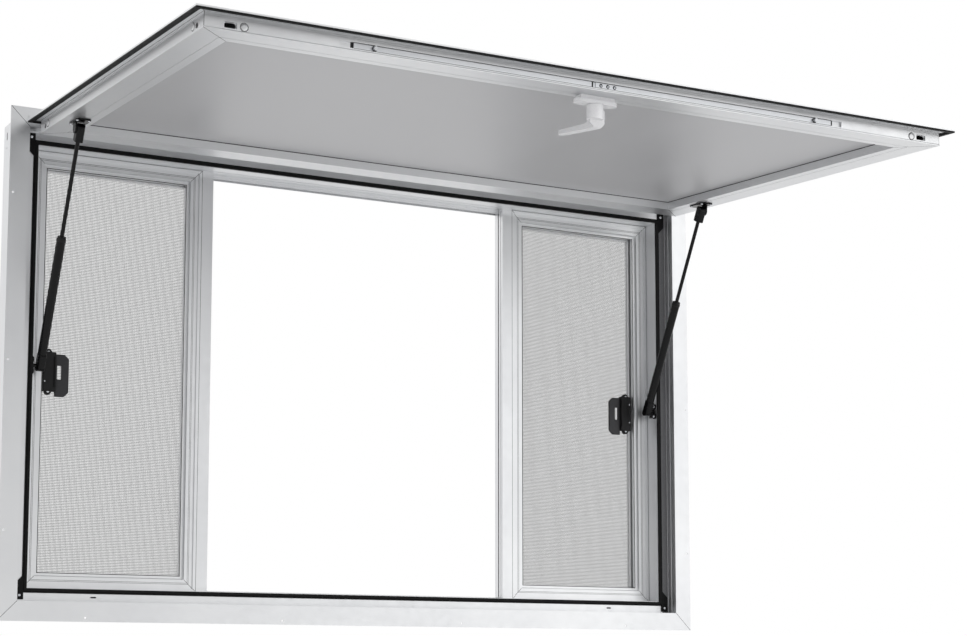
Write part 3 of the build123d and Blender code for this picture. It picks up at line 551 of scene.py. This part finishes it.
def weave_tree():
    """Plain weave: warps wave over and under straight wefts, each set with a pitch of its own."""
    tree, given, result = new_geometry_tree("plain_weave", {
        "Low Corner": "NodeSocketVector", "Width": "NodeSocketFloat", "Warp Pitch": "NodeSocketFloat",
        "Weft Pitch": "NodeSocketFloat", "Thread": "NodeSocketFloat", "Rise": "NodeSocketFloat",
        "Warps": "NodeSocketInt", "Wefts": "NodeSocketInt", "Finish": "NodeSocketMaterial",
    })
    take = given.outputs
    radius = add_node(tree, "ShaderNodeMath", {1: 0.5}, {0: take["Thread"]}, operation="MULTIPLY")
    ring = add_node(tree, "GeometryNodeCurvePrimitiveCircle", {"Resolution": THREAD_SIDES},
                    {"Radius": radius.outputs[0]})
    up = add_node(tree, "ShaderNodeCombineXYZ", links={"Z": take["Weft Pitch"]})
    across = add_node(tree, "ShaderNodeCombineXYZ", links={"X": take["Warp Pitch"]})
    whole = add_node(tree, "ShaderNodeCombineXYZ", links={"X": take["Width"]})
    wave = add_node(tree, "ShaderNodeMath", {1: 2.0, 2: -1.0}, {0: odd_or_even(tree)},
                    operation="MULTIPLY_ADD")
    height = add_node(tree, "ShaderNodeMath", links={0: wave.outputs[0], 1: take["Rise"]},
                      operation="MULTIPLY")
    shift = add_node(tree, "ShaderNodeCombineXYZ", links={"Y": height.outputs[0]})
    crossings = add_node(tree, "GeometryNodeMeshLine",
                         links={"Count": take["Wefts"], "Offset": up.outputs[0]})
    waved = add_node(tree, "GeometryNodeSetPosition",
                     links={"Geometry": crossings.outputs["Mesh"], "Offset": shift.outputs[0]})
    warp_path = add_node(tree, "GeometryNodeMeshToCurve", links={"Mesh": waved.outputs["Geometry"]})
    warp = add_node(tree, "GeometryNodeCurveToMesh", {"Fill Caps": True},
                    {"Curve": warp_path.outputs["Curve"], "Profile Curve": ring.outputs["Curve"]})
    half_turn = add_node(tree, "ShaderNodeMath", {1: math.pi}, {0: odd_or_even(tree)}, operation="MULTIPLY")
    turned = add_node(tree, "ShaderNodeCombineXYZ", links={"Z": half_turn.outputs[0]})
    row = add_node(tree, "GeometryNodeMeshLine", links={"Count": take["Warps"], "Offset": across.outputs[0]})
    warps = add_node(tree, "GeometryNodeInstanceOnPoints",
                     links={"Points": row.outputs["Mesh"], "Instance": warp.outputs["Mesh"],
                            "Rotation": turned.outputs[0]})
    weft_line = add_node(tree, "GeometryNodeMeshLine", {"Count": 2}, {"Offset": whole.outputs[0]})
    weft_path = add_node(tree, "GeometryNodeMeshToCurve", links={"Mesh": weft_line.outputs["Mesh"]})
    weft = add_node(tree, "GeometryNodeCurveToMesh", {"Fill Caps": True},
                    {"Curve": weft_path.outputs["Curve"], "Profile Curve": ring.outputs["Curve"]})
    wefts = add_node(tree, "GeometryNodeInstanceOnPoints",
                     links={"Points": crossings.outputs["Mesh"], "Instance": weft.outputs["Mesh"]})
    both = add_node(tree, "GeometryNodeJoinGeometry")
    tree.links.new(warps.outputs["Instances"], both.inputs["Geometry"])
    tree.links.new(wefts.outputs["Instances"], both.inputs["Geometry"])
    placed = add_node(tree, "GeometryNodeTransform",
                      links={"Geometry": both.outputs["Geometry"], "Translation": take["Low Corner"]})
    close_tree(tree, given, result, placed.outputs["Geometry"])
    return tree


def fastener_tree():
    """A head on each point, which faces the point's own way and is turned by chance from a fixed seed."""
    tree, given, result = new_geometry_tree("fastener_heads", {
        "Head": "NodeSocketObject", "Radius": "NodeSocketFloat", "Seed": "NodeSocketInt",
        "Finish": "NodeSocketMaterial",
    })
    take = given.outputs
    facing = add_node(tree, "GeometryNodeInputNamedAttribute", {"Name": "facing"}, data_type="FLOAT_VECTOR")
    aligned = add_node(tree, "FunctionNodeAlignRotationToVector",
                       links={"Vector": facing.outputs["Attribute"]}, axis="Z")
    chance = add_node(tree, "FunctionNodeRandomValue", {"Max": math.tau}, {"Seed": take["Seed"]},
                      data_type="FLOAT")
    spin = add_node(tree, "FunctionNodeAxisAngleToRotation", {"Axis": (0, 0, 1)},
                    {"Angle": chance.outputs[1]})
    rotation = add_node(tree, "FunctionNodeRotateRotation",
                        links={"Rotation": aligned.outputs[0], "Rotate By": spin.outputs[0]},
                        rotation_space="LOCAL")
    size = add_node(tree, "ShaderNodeCombineXYZ", links={axis: take["Radius"] for axis in "XYZ"})
    head = add_node(tree, "GeometryNodeObjectInfo", links={"Object": take["Head"]})
    heads = add_node(tree, "GeometryNodeInstanceOnPoints",
                     links={"Points": take["Geometry"], "Instance": head.outputs["Geometry"],
                            "Rotation": rotation.outputs[0], "Scale": size.outputs[0]})
    close_tree(tree, given, result, heads.outputs["Instances"])
    return tree


def bead_tree():
    """A round bead along a closed path."""
    tree, given, result = new_geometry_tree("bead", {
        "Radius": "NodeSocketFloat", "Sides": "NodeSocketInt", "Finish": "NodeSocketMaterial",
    })
    take = given.outputs
    ring = add_node(tree, "GeometryNodeCurvePrimitiveCircle",
                    links={"Resolution": take["Sides"], "Radius": take["Radius"]})
    path = add_node(tree, "GeometryNodeMeshToCurve", links={"Mesh": take["Geometry"]})
    tube = add_node(tree, "GeometryNodeCurveToMesh",
                    links={"Curve": path.outputs["Curve"], "Profile Curve": ring.outputs["Curve"]})
    close_tree(tree, given, result, tube.outputs["Mesh"])
    return tree


def grow(name, base, tree, values, body):
    """Runs a tree on a mesh and keeps what it makes as a plain mesh that rides on a body."""
    seed = new_object(name + "_seed", base, None)
    modifier = seed.modifiers.new("grow", "NODES")
    modifier.node_group = tree
    for item in tree.interface.items_tree:
        if item.item_type == "SOCKET" and item.in_out == "INPUT" and item.name in values:
            modifier[item.identifier] = values[item.name]
    graph = bpy.context.evaluated_depsgraph_get()
    mesh = bpy.data.meshes.new_from_object(seed.evaluated_get(graph), depsgraph=graph)
    bpy.data.objects.remove(seed)
    return dress(new_object(name, mesh, None), body)


def turned_mesh(name, profile, segments):
    """A closed mesh turned about Z from radius and height pairs, from its upper pole to its lower one."""
    work = bmesh.new()
    rings = []
    for radius, height in profile[1:-1]:
        angles = [math.tau * i / segments for i in range(segments)]
        rings.append([work.verts.new((radius * math.cos(a), radius * math.sin(a), height)) for a in angles])
    top = work.verts.new((0, 0, profile[0][1]))
    low = work.verts.new((0, 0, profile[-1][1]))
    for i in range(segments):
        j = (i + 1) % segments
        work.faces.new((top, rings[0][i], rings[0][j]))
        work.faces.new((low, rings[-1][j], rings[-1][i]))
        for upper, lower in zip(rings, rings[1:]):
            work.faces.new((upper[i], lower[i], lower[j], upper[j]))
    mark_edges(work)
    return kept_mesh(name, work)


def cross_recess(mesh):
    """Sinks a cross into the top of a head."""
    for vertex in mesh.vertices:
        spread = math.hypot(vertex.co.x, vertex.co.y)
        angle = math.degrees(math.atan2(vertex.co.y, vertex.co.x)) % 90
        in_arm = spread < CROSS_REACH and min(angle, 90 - angle) < CROSS_HALF_ANGLE
        if vertex.co.z > CROSS_LOWEST and (spread < CROSS_MIDDLE or in_arm):
            vertex.co.z -= CROSS_DEPTH
    return mesh


def spots_mesh(name, spots):
    """One vertex for each place, with the way its head faces."""
    mesh = bpy.data.meshes.new(name)
    mesh.from_pydata([place for place, _ in spots], [], [])
    facing = mesh.attributes.new("facing", "FLOAT_VECTOR", "POINT")
    facing.data.foreach_set("vector", [value for _, way in spots for value in way])
    return mesh


def add_heads(name, spots, head, radius, finish, body, seed=7):
    """Heads of one kind on one body."""
    values = {"Head": head, "Radius": radius, "Seed": seed, "Finish": finish}
    return grow(name, spots_mesh(name + "_spots", spots), FASTENERS, values, body)


def add_bead(name, corners, radius, finish, body, sides=8):
    """A closed bead through the corners."""
    mesh = bpy.data.meshes.new(name + "_path")
    edges = [(i, (i + 1) % len(corners)) for i in range(len(corners))]
    mesh.from_pydata([tuple(corner) for corner in corners], edges, [])
    return grow(name, mesh, BEADS, {"Radius": radius, "Sides": sides, "Finish": finish}, body)


def add_strip(work, start, end, normal, width, proud, sunk):
    """A thin closed bar from one point to another, flat on a face."""
    along = (end - start).normalized()
    side = along.cross(normal).normalized() * (width / 2)
    corners = (start + side, start - side, end - side, end + side)
    ring = [[work.verts.new(corner + normal * level) for corner in corners] for level in (proud, -sunk)]
    work.faces.new(ring[0])
    work.faces.new(ring[1][::-1])
    for i in range(4):
        j = (i + 1) % 4
        work.faces.new((ring[0][j], ring[0][i], ring[1][i], ring[1][j]))


def add_strips(name, strips, finish, body):
    """Thin closed bars as one piece; each is given as add_strip takes it."""
    work = bmesh.new()
    for strip in strips:
        add_strip(work, *strip)
    bmesh.ops.recalc_face_normals(work, faces=work.faces)
    return dress(new_object(name, kept_mesh(name, work), finish), body)


def add_joint_lines(name, lines, body):
    """Hairlines of sealant where mitred ends meet."""
    strips = [(start, end, normal, JOINT_WIDTH, JOINT_PROUD, JOINT_PROUD) for start, end, normal in lines]
    return add_strips(name, strips, sealant_and_shade_grey, body)


def add_loops(name, loops, width, proud, finish, body):
    """Closed rectangular lines: each loop has four corners and the way its face looks."""
    strips = []
    for corners, normal in loops:
        for start, end in zip(corners, corners[1:] + corners[:1]):
            reach = (end - start).normalized() * (width / 2)
            strips.append((start - reach, end + reach, normal, width, proud, JOINT_PROUD))
    return add_strips(name, strips, finish, body)


def upright_loop(low, high, inset, y):
    """The four corners of an upright rectangle, moved in by an inset, at a depth."""
    return [Vector((x, y, z)) for x, z in (
        (low.x + inset, low.z + inset), (high.x - inset, low.z + inset),
        (high.x - inset, high.z - inset), (low.x + inset, high.z - inset))]


def upright_corners(low, high):
    """Each corner of an upright rectangle: its x and z, and the way in along each."""
    across = ((low.x, 1), (high.x, -1))
    upright = ((low.z, 1), (high.z, -1))
    return [(x, z, x_way, z_way) for x, x_way in across for z, z_way in upright]


def inward(corner, inset, y):
    """A point moved in from an upright corner by one inset both ways, at a depth."""
    x, z, x_way, z_way = corner
    return Vector((x + x_way * inset, y, z + z_way * inset))


def awning_loop(half_width, top, bottom, depth):
    """The four corners of a rectangle on the awning."""
    return [on_awning(x, down, depth) for x, down in (
        (-half_width, top), (half_width, top), (half_width, bottom), (-half_width, bottom))]


def add_turned(name, profile, place, way, finish, body, segments=PLUG_SEGMENTS):
    """A turned piece at a place, with its axis along a way."""
    mesh = turned_mesh(name, profile, segments)
    mesh.transform(Matrix.Translation(place) @ way.to_track_quat("Z", "Y").to_matrix().to_4x4())
    return dress(new_object(name, mesh, finish), body)


FASTENERS = fastener_tree()
BEADS = bead_tree()
WEAVE = weave_tree()

finish_cad_nodes()

# Templates that the fastener tree scales to size
pan_head = new_object("pan_head", cross_recess(turned_mesh("pan_head", PAN_HEAD, HEAD_SEGMENTS)), None)
rim_plug = new_object("rim_plug", turned_mesh("rim_plug", RIM_PLUG, PLUG_SEGMENTS), None)


def dress_frame():
    """Joint lines, corner-block screws and the seal's lip on the wall frame, and a mid-grey strip of painted shade
    on its right jamb.
    """
    low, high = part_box("frame_sill")[0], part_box("frame_head")[1]
    flange_lines = []
    block_spots = []
    for corner in upright_corners(low, high):
        start = inward(corner, JOINT_WIDTH, FLANGE_FRONT)
        flange_lines.append((start, inward(corner, FLANGE_FACE, FLANGE_FRONT), STREET))
        block_spots.append((inward(corner, BLOCK_INSET, BLOCK_FACE), STREET))
    add_joint_lines("frame_joint_lines", flange_lines, "window")
    add_heads("corner_block_screws", block_spots, pan_head, BLOCK_SCREW, screw_steel, "window")
    lip = upright_loop(low, high, SEAL_INSET - SEAL_LIP / 2, LEDGE_DEPTH)
    add_loops("seal_lip", [(lip, STREET)], SEAL_LIP, SEAL_LIP_PROUD, rubber_and_shade_black, "window")
    # Painted shade: a mid-grey strip on the right jamb only
    x = high.x - (FLANGE_FACE + SEAL_INSET - SEAL_LIP) / 2
    shade_low = Vector((x, LEDGE_DEPTH, low.z + FLANGE_FACE))
    shade_high = Vector((x, LEDGE_DEPTH, high.z - FLANGE_FACE))
    shade_strip = (shade_low, shade_high, STREET, JAMB_SHADE_WIDTH, JAMB_SHADE_PROUD, JAMB_SHADE_SUNK)
    add_strips("jamb_foam_tape", [shade_strip], jamb_shade, "window")


def dress_light(word):
    """Joint lines of one side light, and its painted shade: two dark lines on its face, a dark line in its gap to
    the frame and a black line along its glazing edge.
    """
    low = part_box(f"light_{word}_bottom_rail")[0]
    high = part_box(f"light_{word}_top_rail")[1]
    lip = low.y
    face = low.y + LIGHT_STEP
    lines = []
    for corner in upright_corners(low, high):
        lines.append((inward(corner, LINE_START, lip), inward(corner, LIGHT_LIP, lip), STREET))
        lines.append((inward(corner, LIGHT_LIP, face), inward(corner, LIGHT_BEAD, face), STREET))
    add_joint_lines(f"light_joint_lines_{word}", lines, "window")
    # Painted shade: two dark lines on the light's face, where the profile has no step
    loops = [(upright_loop(low, high, inset, face), STREET) for inset in LIGHT_SHADE_LINES]
    add_loops(f"light_lines_{word}", loops, LIGHT_SHADE_LINE_WIDTH, JOINT_PROUD, sealant_and_shade_grey, "window")
    # Painted shade: a dark line in the gap between the light and the frame
    gap_shade = upright_loop(low, high, LINE_START, lip)
    add_loops(f"light_to_frame_gap_{word}", [(gap_shade, STREET)], GAP_SHADE_WIDTH, JOINT_PROUD, sealant_and_shade_grey, "window")
    # Painted shade: a black line along the light's glazing edge
    edge = upright_loop(low, high, LIGHT_FACE - EDGE_SHADE_WIDTH / 2, low.y + LIGHT_BEAD_STEP)
    add_loops(f"light_edge_seal_{word}", [(edge, STREET)], EDGE_SHADE_WIDTH, JOINT_PROUD, rubber_and_shade_black, "window")


def awning_lines(edge):
    """The joint lines at the awning's four corners."""
    across_rim = (RIM_INSET - RIM_NOSE, RIM_INSET + RIM_WIDTH)
    across_fin = (FIN_LINE_INSET, RIM_INSET)
    rim_low = AWNING_BOTTOM - RIM_INSET
    lines = []
    for x_side in (-1, 1):
        for end, way in ((AWNING_TOP, 1), (AWNING_BOTTOM, -1)):
            for insets, depth in ((across_rim, AWNING_DEPTH), (across_fin, FIN_DEPTH)):
                ends = [on_awning(x_side * (edge - inset), end + way * inset, depth) for inset in insets]
                lines.append((*ends, depth_way))
        outward = (down_way + Vector((x_side, 0, 0))).normalized()
        corner = [on_awning(x_side * (edge - RIM_INSET), rim_low, depth) for depth in RIM_CORNER]
        lines.append((*corner, outward))
    return lines


def dress_awning():
    """Joint lines, gasket and plugs of the awning, and painted shade: dark rings round the plugs, a dark line
    where the fin meets the rim and a dark band on the fin.
    """
    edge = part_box("awning_skin")[1].x
    add_joint_lines("awning_joint_lines", awning_lines(edge), "awning")
    inset = RIM_INSET + RIM_WIDTH
    panel_edge = awning_loop(edge - inset, AWNING_TOP + inset, AWNING_BOTTOM - inset, PANEL_DEPTH)
    add_bead("panel_gasket", panel_edge, GASKET_RADIUS, rubber_and_shade_black, "awning")
    rim_x = edge - RIM_INSET
    rim_low = AWNING_BOTTOM - RIM_INSET
    rim_top = AWNING_TOP + RIM_INSET
    plugs = []
    for x_side in (-1, 1):
        side_way = Vector((x_side, 0, 0))
        lower_x = x_side * (rim_x - LOWER_PLUG_FROM_CORNER)
        plugs.append((on_awning(lower_x, rim_low, CHANNEL_CENTRE), down_way))
        for down in (rim_low - SIDE_PLUG_FROM_CORNER, rim_top + SIDE_PLUG_FROM_CORNER):
            plugs.append((on_awning(x_side * rim_x, down, SIDE_PLUG_DEPTH), side_way))
    # Painted shade: dark rings round the plugs
    add_heads("rim_plug_rings", plugs, rim_plug, PLUG_SHADE_RING, sealant_and_shade_grey, "awning")
    raised = [(place + way * HEAD_LIFT, way) for place, way in plugs]
    add_heads("rim_plugs", raised, rim_plug, PLUG_RADIUS, aluminium, "awning")
    # Painted shade: a dark line where the fin meets the rim
    fin = awning_loop(rim_x, rim_top, rim_low, FIN_DEPTH)
    add_loops("fin_shadow_gap", [(fin, depth_way)], FIN_SHADE_LINE_WIDTH, JOINT_PROUD, sealant_and_shade_grey, "awning")
    # Painted shade: a dark band on the fin
    lip = awning_loop(
        edge - FIN_SHADE_BAND_INSET, AWNING_TOP + FIN_SHADE_BAND_INSET, AWNING_BOTTOM - FIN_SHADE_BAND_INSET, FIN_DEPTH)
    add_loops("fin_seal_lip", [(lip, depth_way)], FIN_SHADE_BAND_WIDTH, FIN_SHADE_BAND_PROUD, sealant_and_shade_grey, "awning")
    dress_channel(rim_low)


def dress_channel(rim_low):
    """The covers over the lock channel's ends, and painted shade: dark lines beside the lock bars and dark pads in
    the gaps past their ends.
    """
    width = 2 * CHANNEL_HALF
    covers = [
        (on_awning(x_side * near, rim_low, CHANNEL_CENTRE), on_awning(x_side * far, rim_low, CHANNEL_CENTRE),
         down_way, width, 0, CHANNEL_DEPTH)
        for x_side in (-1, 1) for near, far in CHANNEL_COVERS]
    add_strips("channel_covers", covers, aluminium, "awning")
    # Painted shade: dark lines beside the lock bars and dark pads in the gaps past their ends
    gap_shades = []
    for depth in (CHANNEL_CENTRE - CHANNEL_HALF, CHANNEL_CENTRE + CHANNEL_HALF):
        ends = [on_awning(x, rim_low, depth) for x in (-BAR_END, BAR_END)]
        gap_shades.append((*ends, down_way, GAP_SHADE_WIDTH, JOINT_PROUD, JOINT_PROUD))
    for x_side in (-1, 1):
        start = on_awning(x_side * BAR_END, rim_low - CHANNEL_DEPTH, CHANNEL_CENTRE)
        end = start + Vector((x_side * BAR_GAP, 0, 0))
        gap_shades.append((start, end, down_way, width, GAP_SHADE_FILM, JOINT_PROUD))
    add_strips("channel_shadow_gaps", gap_shades, sealant_and_shade_grey, "awning")


def dress_screen(word):
    """The woven screen, its spline and the joint lines of its sash."""
    low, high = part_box(f"screen_{word}")
    middle = (low.y + high.y) / 2
    width = high.x - low.x
    values = {
        "Low Corner": (low.x, middle, low.z), "Width": width, "Warp Pitch": WARP_PITCH,
        "Weft Pitch": WEFT_PITCH, "Thread": THREAD_WIDTH, "Rise": THREAD_RISE,
        "Warps": int(width / WARP_PITCH) + 1, "Wefts": int((high.z - low.z) / WEFT_PITCH) + 1,
        "Finish": thread,
    }
    bare = bpy.data.meshes.new("weave_seed")
    screen = grow(f"woven_screen_{word}", bare, WEAVE, values, "window")
    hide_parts(f"screen_{word}")
    sash_low, sash_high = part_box(f"sash_{word}")
    back = sash_high.y
    lines = []
    for x in (low.x + SCREEN_SLOT, high.x - SCREEN_SLOT):
        for start, end in ((sash_low.z + LINE_START, low.z + SCREEN_SLOT),
                           (high.z - SCREEN_SLOT, sash_high.z - LINE_START)):
            lines.append((Vector((x, back, start)), Vector((x, back, end)), INDOORS))
    add_joint_lines(f"sash_joint_lines_{word}", lines, "window")
    spline = upright_loop(low, high, SPLINE_INSET, back)
    add_bead(f"screen_spline_{word}", spline, SPLINE_RADIUS, rubber_and_shade_black, "window")


def dress_latch(word, side):
    """The latch with its moulded edges and worn pull, its ears' screws and its rivets."""
    latch = softened(f"latch_{word}", LATCH_ROUND, 2, latch_nylon)
    dress(latch, "window")
    latch.data.materials.append(pull_nylon)
    for polygon in latch.data.polygons:
        polygon.material_index = int(abs(polygon.center.x) < PULL_EDGE_X)
    ears = [(Vector((side * EAR_X, EAR_FACE, z)), STREET) for z in EAR_HEIGHTS]
    add_heads(f"latch_screws_{word}", ears, pan_head, EAR_SCREW, screw_steel, "window", seed=3)
    rivets = [(Vector((side * RIVET_X, RIVET_FACE, z)), STREET) for z in RIVET_HEIGHTS]
    add_heads(f"latch_rivets_{word}", rivets, pan_head, RIVET, screw_steel, "window", seed=3)


def dress_strut(word, side):
    """The strut's rounded pieces, its gland and the screws of its two brackets."""
    tube_body = f"strut_cylinder_{word}_body"
    for name, width, segments, body in (
            (f"strut_rod_{word}", ROD_ROUND, 2, f"strut_rod_{word}_body"),
            (f"strut_cylinder_{word}", TUBE_ROUND, 3, tube_body),
            (f"strut_bracket_lower_{word}", BRACKET_ROUND, 2, "window"),
            (f"strut_bracket_upper_{word}", BRACKET_ROUND, 2, "awning")):
        dress(softened(name, width, segments, strut_steel), body)
    slide = Vector(joints[f"strut_{word}_slide"]["axis"])
    pivot = Vector((side * PIVOT_X, PIVOT_DEPTH, PIVOT_HEIGHT))
    tube_end = pivot + slide * (SOCKET_LENGTH + TUBE_LENGTH)
    gland = [(radius * MM, height * MM) for radius, height in GLAND]
    add_turned(f"strut_gland_{word}", gland, tube_end, slide, socket_nylon, tube_body)
    inwards = Vector((-side, 0, 0))
    x = side * LOWER_BRACKET_X
    spots = [(Vector((x, LOWER_BRACKET_DEPTH, z)), inwards) for z in LOWER_BRACKET_HEIGHTS]
    add_heads(f"lower_bracket_screws_{word}", spots, pan_head, LOWER_BRACKET_SCREW, screw_steel, "window",
              seed=5)
    spots = [(on_awning(side * x, down, UPPER_BRACKET_FACE), depth_way)
             for x in UPPER_BRACKET_X for down in UPPER_BRACKET_DOWN]
    add_heads(f"upper_bracket_screws_{word}", spots, pan_head, UPPER_BRACKET_SCREW, screw_steel, "awning",
              seed=6)


def dress_handle_and_lock():
    """The handle's cast edges and the drive block's screws, with painted shade: black rings round the drive screws
    and studs, and a black strip at the drive block's end.
    """
    dress(softened("handle_base", BASE_ROUND, 3, casting), "awning")
    dress(softened("handle_lever", LEVER_ROUND, 3, casting), "handle")
    # Painted shade: black rings round the drive screws
    rings = [(on_awning(x, BAR_FACE, CHANNEL_CENTRE), down_way) for x in (-DRIVE_SCREW_X, 0, DRIVE_SCREW_X)]
    add_heads("drive_block_rings", rings, rim_plug, DRIVE_SHADE_RING, rubber_and_shade_black, "lock", seed=4)
    screws = [(place + way * HEAD_LIFT, way) for place, way in rings]
    add_heads("drive_block_screws", screws, pan_head, DRIVE_SCREW, screw_steel, "lock", seed=4)
    # Painted shade: black rings round the studs
    studs = [(on_awning(x, BAR_FACE, CHANNEL_CENTRE), down_way) for x in (-STUD_X, STUD_X)]
    add_heads("stud_rings", studs, rim_plug, STUD_SHADE_RING, rubber_and_shade_black, "lock", seed=4)
    # Painted shade: a black strip at the drive block's end
    ends = [on_awning(DRIVE_END, BAR_FACE, depth) for depth in DRIVE_END_DEPTHS]
    gap_shade = (*ends, down_way, DRIVE_END_WIDTH, GAP_SHADE_FILM, JOINT_PROUD)
    add_strips("drive_block_gap", [gap_shade], rubber_and_shade_black, "lock")


dress_frame()
dress_awning()
for hand, hand_side in (("left", -1), ("right", 1)):
    dress_light(hand)
    dress_screen(hand)
    dress_latch(hand, hand_side)
    dress_strut(hand, hand_side)
dress_handle_and_lock()
for template in (pan_head, rim_plug):
    bpy.data.objects.remove(template)


def flat_mesh(name, width, height, placing):
    """A rectangle about the origin that faces up, then placed by a matrix."""
    w, h = width / 2, height / 2
    mesh = bpy.data.meshes.new(name)
    mesh.from_pydata([(-w, -h, 0), (w, -h, 0), (w, h, 0), (-w, h, 0)], [], [(0, 1, 2, 3)])
    mesh.transform(placing)
    return mesh


def add_floor():
    """A pale floor well below the part, which keeps its shadow and looks white to the gloss."""
    paint, tree, shader = new_material("pale_floor", "#F0F0F0", 0.0, 0.9)
    path = add_node(tree, "ShaderNodeLightPath")
    glow = add_node(tree, "ShaderNodeEmission", {"Color": (1, 1, 1, 1), "Strength": FLOOR_GLOW})
    shown = add_node(tree, "ShaderNodeMixShader", links={
        0: path.outputs["Is Glossy Ray"], 1: shader.outputs[0], 2: glow.outputs[0]})
    # Far off the floor fades to the white surround for the camera, and from below it is clear
    place = add_node(tree, "ShaderNodeTexCoord")
    far = add_node(tree, "ShaderNodeVectorMath", links={0: place.outputs["Object"]}, operation="LENGTH")
    fade = add_node(tree, "ShaderNodeMapRange", {"From Min": FADE_START, "From Max": FADE_END},
                    {"Value": far.outputs["Value"]})
    faded = add_node(tree, "ShaderNodeMath", links={0: fade.outputs[0], 1: path.outputs["Is Camera Ray"]},
                     operation="MULTIPLY")
    white = add_node(tree, "ShaderNodeEmission", {"Color": (1, 1, 1, 1)})
    faded_floor = add_node(tree, "ShaderNodeMixShader", links={
        0: faded.outputs[0], 1: shown.outputs[0], 2: white.outputs[0]})
    side = add_node(tree, "ShaderNodeNewGeometry")
    clear = add_node(tree, "ShaderNodeBsdfTransparent")
    from_above = add_node(tree, "ShaderNodeMixShader", links={
        0: side.outputs["Backfacing"], 1: faded_floor.outputs[0], 2: clear.outputs[0]})
    tree.links.new(from_above.outputs[0], tree.nodes["Material Output"].inputs["Surface"])
    placing = Matrix.Translation((0, 0, cad_low.z - FLOOR_DROP))
    new_object("floor", flat_mesh("floor", FLOOR_SIZE, FLOOR_SIZE, placing), paint)


def add_board(name, centre, size, material):
    """A studio board, facing indoors, that only reflections and bounced light see."""
    placing = Matrix.Translation(centre) @ INDOORS.to_track_quat("Z", "Y").to_matrix().to_4x4()
    made = new_object(name, flat_mesh(name, *size, placing), material)
    made.visible_camera = False


def add_boards():
    """A long softbox in front that fades to the left, with a dark flag high before it."""
    soft = bpy.data.materials.new("softbox")
    soft.use_nodes = True
    tree = soft.node_tree
    split = add_node(tree, "ShaderNodeSeparateXYZ",
                     links={"Vector": add_node(tree, "ShaderNodeTexCoord").outputs["Object"]})
    level = add_node(tree, "ShaderNodeMapRange", {
        "From Min": CARD_DIM_X, "From Max": CARD_BRIGHT_X, "To Min": CARD_LOW, "To Max": CARD_HIGH},
        {"Value": split.outputs["X"]})
    glow = add_node(tree, "ShaderNodeEmission", {"Color": (1, 1, 1, 1)}, {"Strength": level.outputs[0]})
    tree.links.new(glow.outputs[0], tree.nodes["Material Output"].inputs["Surface"])
    add_board("front_softbox", CARD_PLACE, CARD_SIZE, soft)
    felt = new_material("flag_felt", "#0C0C0C", 0.0, 1.0)[0]
    add_board("high_flag", FLAG_PLACE, FLAG_SIZE, felt)


def add_lamp(name, place, power):
    """A soft square lamp that the gloss doesn't show."""
    lamp = bpy.data.lights.new(name, "AREA")
    lamp.shape = "SQUARE"
    lamp.size = LAMP_SIZE
    lamp.energy = power
    made = bpy.data.objects.new(name, lamp)
    bpy.context.scene.collection.objects.link(made)
    made.location = place
    made.rotation_euler = (Vector(LAMP_TARGET) - Vector(place)).to_track_quat("-Z", "Y").to_euler()
    made.visible_glossy = False


def add_world():
    """White for what the camera, the gloss and the glass see, and softer for diffuse light."""
    world = bpy.data.worlds.new("studio")
    bpy.context.scene.world = world
    world.use_nodes = True
    tree = world.node_tree
    path = add_node(tree, "ShaderNodeLightPath")
    first = add_node(tree, "ShaderNodeMath", links={
        0: path.outputs["Is Camera Ray"], 1: path.outputs["Is Glossy Ray"]}, operation="MAXIMUM")
    seen = add_node(tree, "ShaderNodeMath", links={
        0: first.outputs[0], 1: path.outputs["Is Transmission Ray"]}, operation="MAXIMUM")
    level = add_node(tree, "ShaderNodeMapRange", {"To Min": SKY_DIFFUSE, "To Max": 1.0},
                     {"Value": seen.outputs[0]})
    tree.nodes["Background"].inputs["Color"].default_value = (1, 1, 1, 1)
    tree.links.new(level.outputs[0], tree.nodes["Background"].inputs["Strength"])


def add_camera():
    """The photo's camera."""
    camera = bpy.data.cameras.new("camera")
    camera.lens = CAMERA_LENS
    camera.sensor_width = SENSOR_WIDTH
    camera.shift_y = CAMERA_SHIFT
    camera.clip_end = CAMERA_REACH
    made = bpy.data.objects.new("camera", camera)
    bpy.context.scene.collection.objects.link(made)
    made.location = CAMERA_PLACE
    made.rotation_euler = (math.radians(90 + CAMERA_PITCH), 0, -math.radians(CAMERA_YAW))
    bpy.context.scene.camera = made


add_floor()
add_boards()
add_world()
add_lamp("key", KEY_PLACE, KEY_POWER)
add_lamp("fill", FILL_PLACE, FILL_POWER)
add_camera()
bpy.context.scene.view_settings.view_transform = "Standard"
